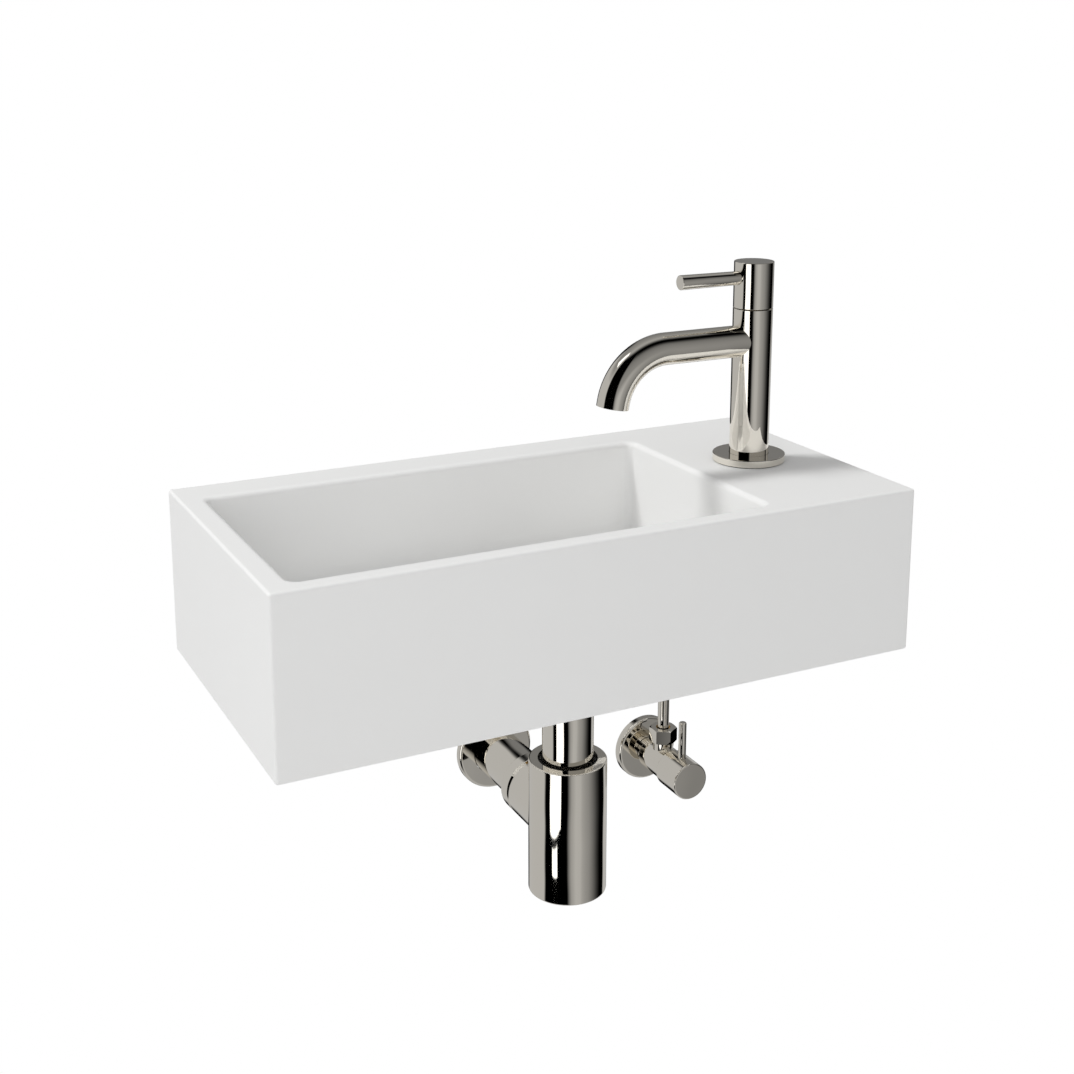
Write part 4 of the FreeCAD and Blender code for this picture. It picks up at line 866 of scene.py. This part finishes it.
def make_world(ambient, lean):
    """White all round for the eye, and a softer, leaning light on the object."""
    world = bpy.data.worlds.new("studio")
    bpy.context.scene.world = world
    world.use_nodes = True
    tree = world.node_tree
    tree.nodes.clear()
    direction = add_node(tree, "ShaderNodeTexCoord").outputs["Generated"]
    towards = add_node(
        tree, "ShaderNodeVectorMath", {"operation": "DOT_PRODUCT"},
        values={1: LEAN_TOWARDS}, links={0: direction},
    )
    weakest, strongest = ambient - lean, ambient + lean
    strength = add_node(
        tree, "ShaderNodeMapRange",
        values={"From Min": -1.0, "From Max": 1.0, "To Min": weakest, "To Max": strongest},
        links={"Value": towards.outputs["Value"]},
    )
    lit = add_node(
        tree, "ShaderNodeBackground",
        values={"Color": WHITE}, links={"Strength": strength.outputs["Result"]},
    )
    white = add_node(tree, "ShaderNodeBackground", values={"Color": WHITE, "Strength": 1.0})
    mixed = white_where_seen(tree, lit.outputs["Background"], white.outputs["Background"])
    add_node(tree, "ShaderNodeOutputWorld", links={"Surface": mixed})


def make_floor():
    """Plain pale floor far below the basin."""
    material = empty_material("studio floor")
    tree = material.node_tree
    lit = add_node(tree, "ShaderNodeBsdfDiffuse", values={"Color": FLOOR_GREY})
    white = add_node(tree, "ShaderNodeEmission", values={"Color": WHITE, "Strength": 1.0})
    mixed = white_where_seen(tree, lit.outputs["BSDF"], white.outputs["Emission"])
    add_node(tree, "ShaderNodeOutputMaterial", links={"Surface": mixed})
    corners = [
        (x * FLOOR_REACH, y * FLOOR_REACH, FLOOR_LEVEL)
        for x, y in ((-1, -1), (1, -1), (1, 1), (-1, 1))
    ]
    stage_mesh("studio_floor", corners, [(0, 1, 2, 3)], material)


def between(table, place):
    """The level of a table at a place, straight between its entries."""
    for (first, low), (second, high) in zip(table, table[1:]):
        if first <= place <= second:
            return low + (high - low) * (place - first) / (second - first)
    raise ValueError("the table ends before %s" % place)


def direction_at(azimuth, elevation):
    """The direction at an azimuth from the front and an elevation, both in degrees."""
    turn, rise = math.radians(azimuth), math.radians(elevation)
    level = math.cos(rise)
    return Vector((math.sin(turn) * level, -math.cos(turn) * level, math.sin(rise)))


def tent_level(azimuth, elevation):
    """Brightness of the tent in one direction."""
    direction = direction_at(azimuth, elevation)
    over = math.degrees(math.atan2(max(direction.z, 0.0), direction.y))
    share = min(max((elevation - between(EAVES, azimuth)) / EAVES_DEPTH, 0.0), 1.0)
    sides = (1 - share) * between(SCREENS, azimuth) + share * between(ROOF, over)
    ground = min(max((SCREENS_END - elevation) / (SCREENS_END - GROUND_START), 0.0), 1.0)
    return (1 - ground) * sides + ground * GROUND_LEVEL


def tent_point(azimuth, elevation):
    """Where the tent stands in one direction; its ground sheet is level."""
    direction = direction_at(azimuth, elevation)
    reach = TENT_RADIUS
    if direction.z < 0:
        reach = min(reach, (FLOOR_LEVEL + GROUND_CLEARANCE - TENT_CENTRE.z) / direction.z)
    return TENT_CENTRE + reach * direction


def only_reflections(item):
    """Hides a card or the tent from everything but reflections."""
    item.visible_camera = False
    item.visible_diffuse = False
    item.visible_transmission = False
    item.visible_volume_scatter = False
    item.visible_shadow = False


def make_tent():
    """Screens and roof round the object that only reflections see."""
    material = empty_material("studio tent")
    tree = material.node_tree
    attribute = add_node(tree, "ShaderNodeAttribute", {"attribute_name": "brightness"})
    glow = add_node(
        tree, "ShaderNodeEmission",
        values={"Strength": TENT_STRENGTH}, links={"Color": attribute.outputs["Color"]},
    )
    add_node(tree, "ShaderNodeOutputMaterial", links={"Surface": glow.outputs["Emission"]})
    # All the way round, and from straight down to straight up
    azimuths = range(-180, 180 + TENT_STEP, TENT_STEP)
    elevations = range(-90, 90 + TENT_STEP, TENT_STEP)
    corners, levels, faces = [], [], []
    for azimuth in azimuths:
        for elevation in elevations:
            corners.append(tent_point(azimuth, elevation))
            levels.append(tent_level(azimuth, elevation))
    count = len(elevations)
    for column in range(len(azimuths) - 1):
        for row in range(count - 1):
            corner = column * count + row
            faces.append((corner, corner + count, corner + count + 1, corner + 1))
    tent = stage_mesh("studio_tent", corners, faces, material)
    colour = tent.data.color_attributes.new("brightness", "FLOAT_COLOR", "POINT")
    for corner, level in zip(colour.data, levels):
        corner.color = (level, level, level, 1.0)
    only_reflections(tent)


def make_card(name, azimuths, elevations):
    """A glowing card between two azimuths and two elevations, just inside the tent."""
    material = empty_material(name)
    tree = material.node_tree
    glow = add_node(tree, "ShaderNodeEmission", values={"Color": WHITE, "Strength": CARD_STRENGTH})
    add_node(tree, "ShaderNodeOutputMaterial", links={"Surface": glow.outputs["Emission"]})
    (left, right), (low, high) = azimuths, elevations
    corners = [
        TENT_CENTRE + CARD_RADIUS * direction_at(azimuth, elevation)
        for azimuth, elevation in ((left, low), (right, low), (right, high), (left, high))
    ]
    only_reflections(stage_mesh(name, corners, [(0, 1, 2, 3)], material))


def make_lamp(name, place, size, power):
    """A square lamp that points at the basin and isn't mirrored by the metal."""
    lamp = bpy.data.lights.new(name, "AREA")
    lamp.energy = power
    lamp.size = size
    holder = bpy.data.objects.new(name, lamp)
    bpy.context.scene.collection.objects.link(holder)
    holder.location = place
    holder.rotation_mode = "QUATERNION"
    holder.rotation_quaternion = (TENT_CENTRE - holder.location).to_track_quat("-Z", "Y")
    holder.visible_glossy = False


def make_camera(settings):
    """The camera at its place, with its lens lowered."""
    camera = bpy.data.cameras.new("camera")
    camera.lens = settings.lens
    camera.sensor_width = SENSOR_MM
    camera.shift_y = settings.shift
    holder = bpy.data.objects.new("camera", camera)
    bpy.context.scene.collection.objects.link(holder)
    back = direction_at(math.degrees(settings.azimuth), math.degrees(settings.elevation))
    holder.location = settings.camera_place
    holder.rotation_mode = "QUATERNION"
    holder.rotation_quaternion = (-back).to_track_quat("-Z", "Y")
    bpy.context.scene.camera = holder


class HAND_BASIN_OT_stage(bpy.types.Operator):
    """Set up the floor, the lamps, the tent for reflections and the camera."""

    bl_idname = "hand_basin.stage"
    bl_label = "Stage"

    def execute(self, context):
        settings = context.scene.basin_stage
        context.scene.view_settings.view_transform = "Standard"
        make_world(settings.ambient, settings.lean)
        make_floor()
        make_tent()
        for name, azimuths, elevations in CARDS:
            make_card(name, azimuths, elevations)
        make_lamp("key", KEY_PLACE, KEY_SIZE, settings.key_power)
        make_lamp("fill", FILL_PLACE, FILL_SIZE, settings.fill_power)
        make_camera(settings)
        return {"FINISHED"}


class HAND_BASIN_PT_panel(bpy.types.Panel):
    """Lists the steps and their settings."""

    bl_idname = "HAND_BASIN_PT_panel"
    bl_label = "Hand basin"
    bl_space_type = "VIEW_3D"
    bl_region_type = "UI"
    bl_category = "Hand basin"

    def draw(self, context):
        for operator in OPERATORS:
            self.layout.operator(operator.bl_idname)
        for scene_name in SETTINGS:
            group = getattr(context.scene, scene_name)
            for name in group.__annotations__:
                self.layout.prop(group, name)


# The settings by the name that the scene keeps them under, and the operators in working order
SETTINGS = {
    "basin_colours": FinishColours,
    "basin_threads": ThreadSizes,
    "basin_nuts": NutSizes,
    "basin_pin": PinSizes,
    "basin_aerator": AeratorSizes,
    "basin_stage": StageSettings,
}
OPERATORS = (
    HAND_BASIN_OT_finishes,
    HAND_BASIN_OT_threads,
    HAND_BASIN_OT_nuts,
    HAND_BASIN_OT_pin,
    HAND_BASIN_OT_aerator,
    HAND_BASIN_OT_stage,
)
CLASSES = (*SETTINGS.values(), *OPERATORS, HAND_BASIN_PT_panel)


def register():
    """Adds the classes and gives the scene its settings."""
    for item in CLASSES:
        bpy.utils.register_class(item)
    for name, group in SETTINGS.items():
        setattr(bpy.types.Scene, name, bpy.props.PointerProperty(type=group))


def unregister():
    """Takes the settings and the classes away again."""
    for name in SETTINGS:
        delattr(bpy.types.Scene, name)
    for item in reversed(CLASSES):
        bpy.utils.unregister_class(item)


def main():
    """Makes all pieces and the stage."""
    register()
    bpy.ops.hand_basin.finishes()
    bpy.ops.hand_basin.threads()
    bpy.ops.hand_basin.nuts()
    bpy.ops.hand_basin.pin()
    bpy.ops.hand_basin.aerator()
    bpy.ops.hand_basin.stage()


if __name__ == "__main__":
    main()
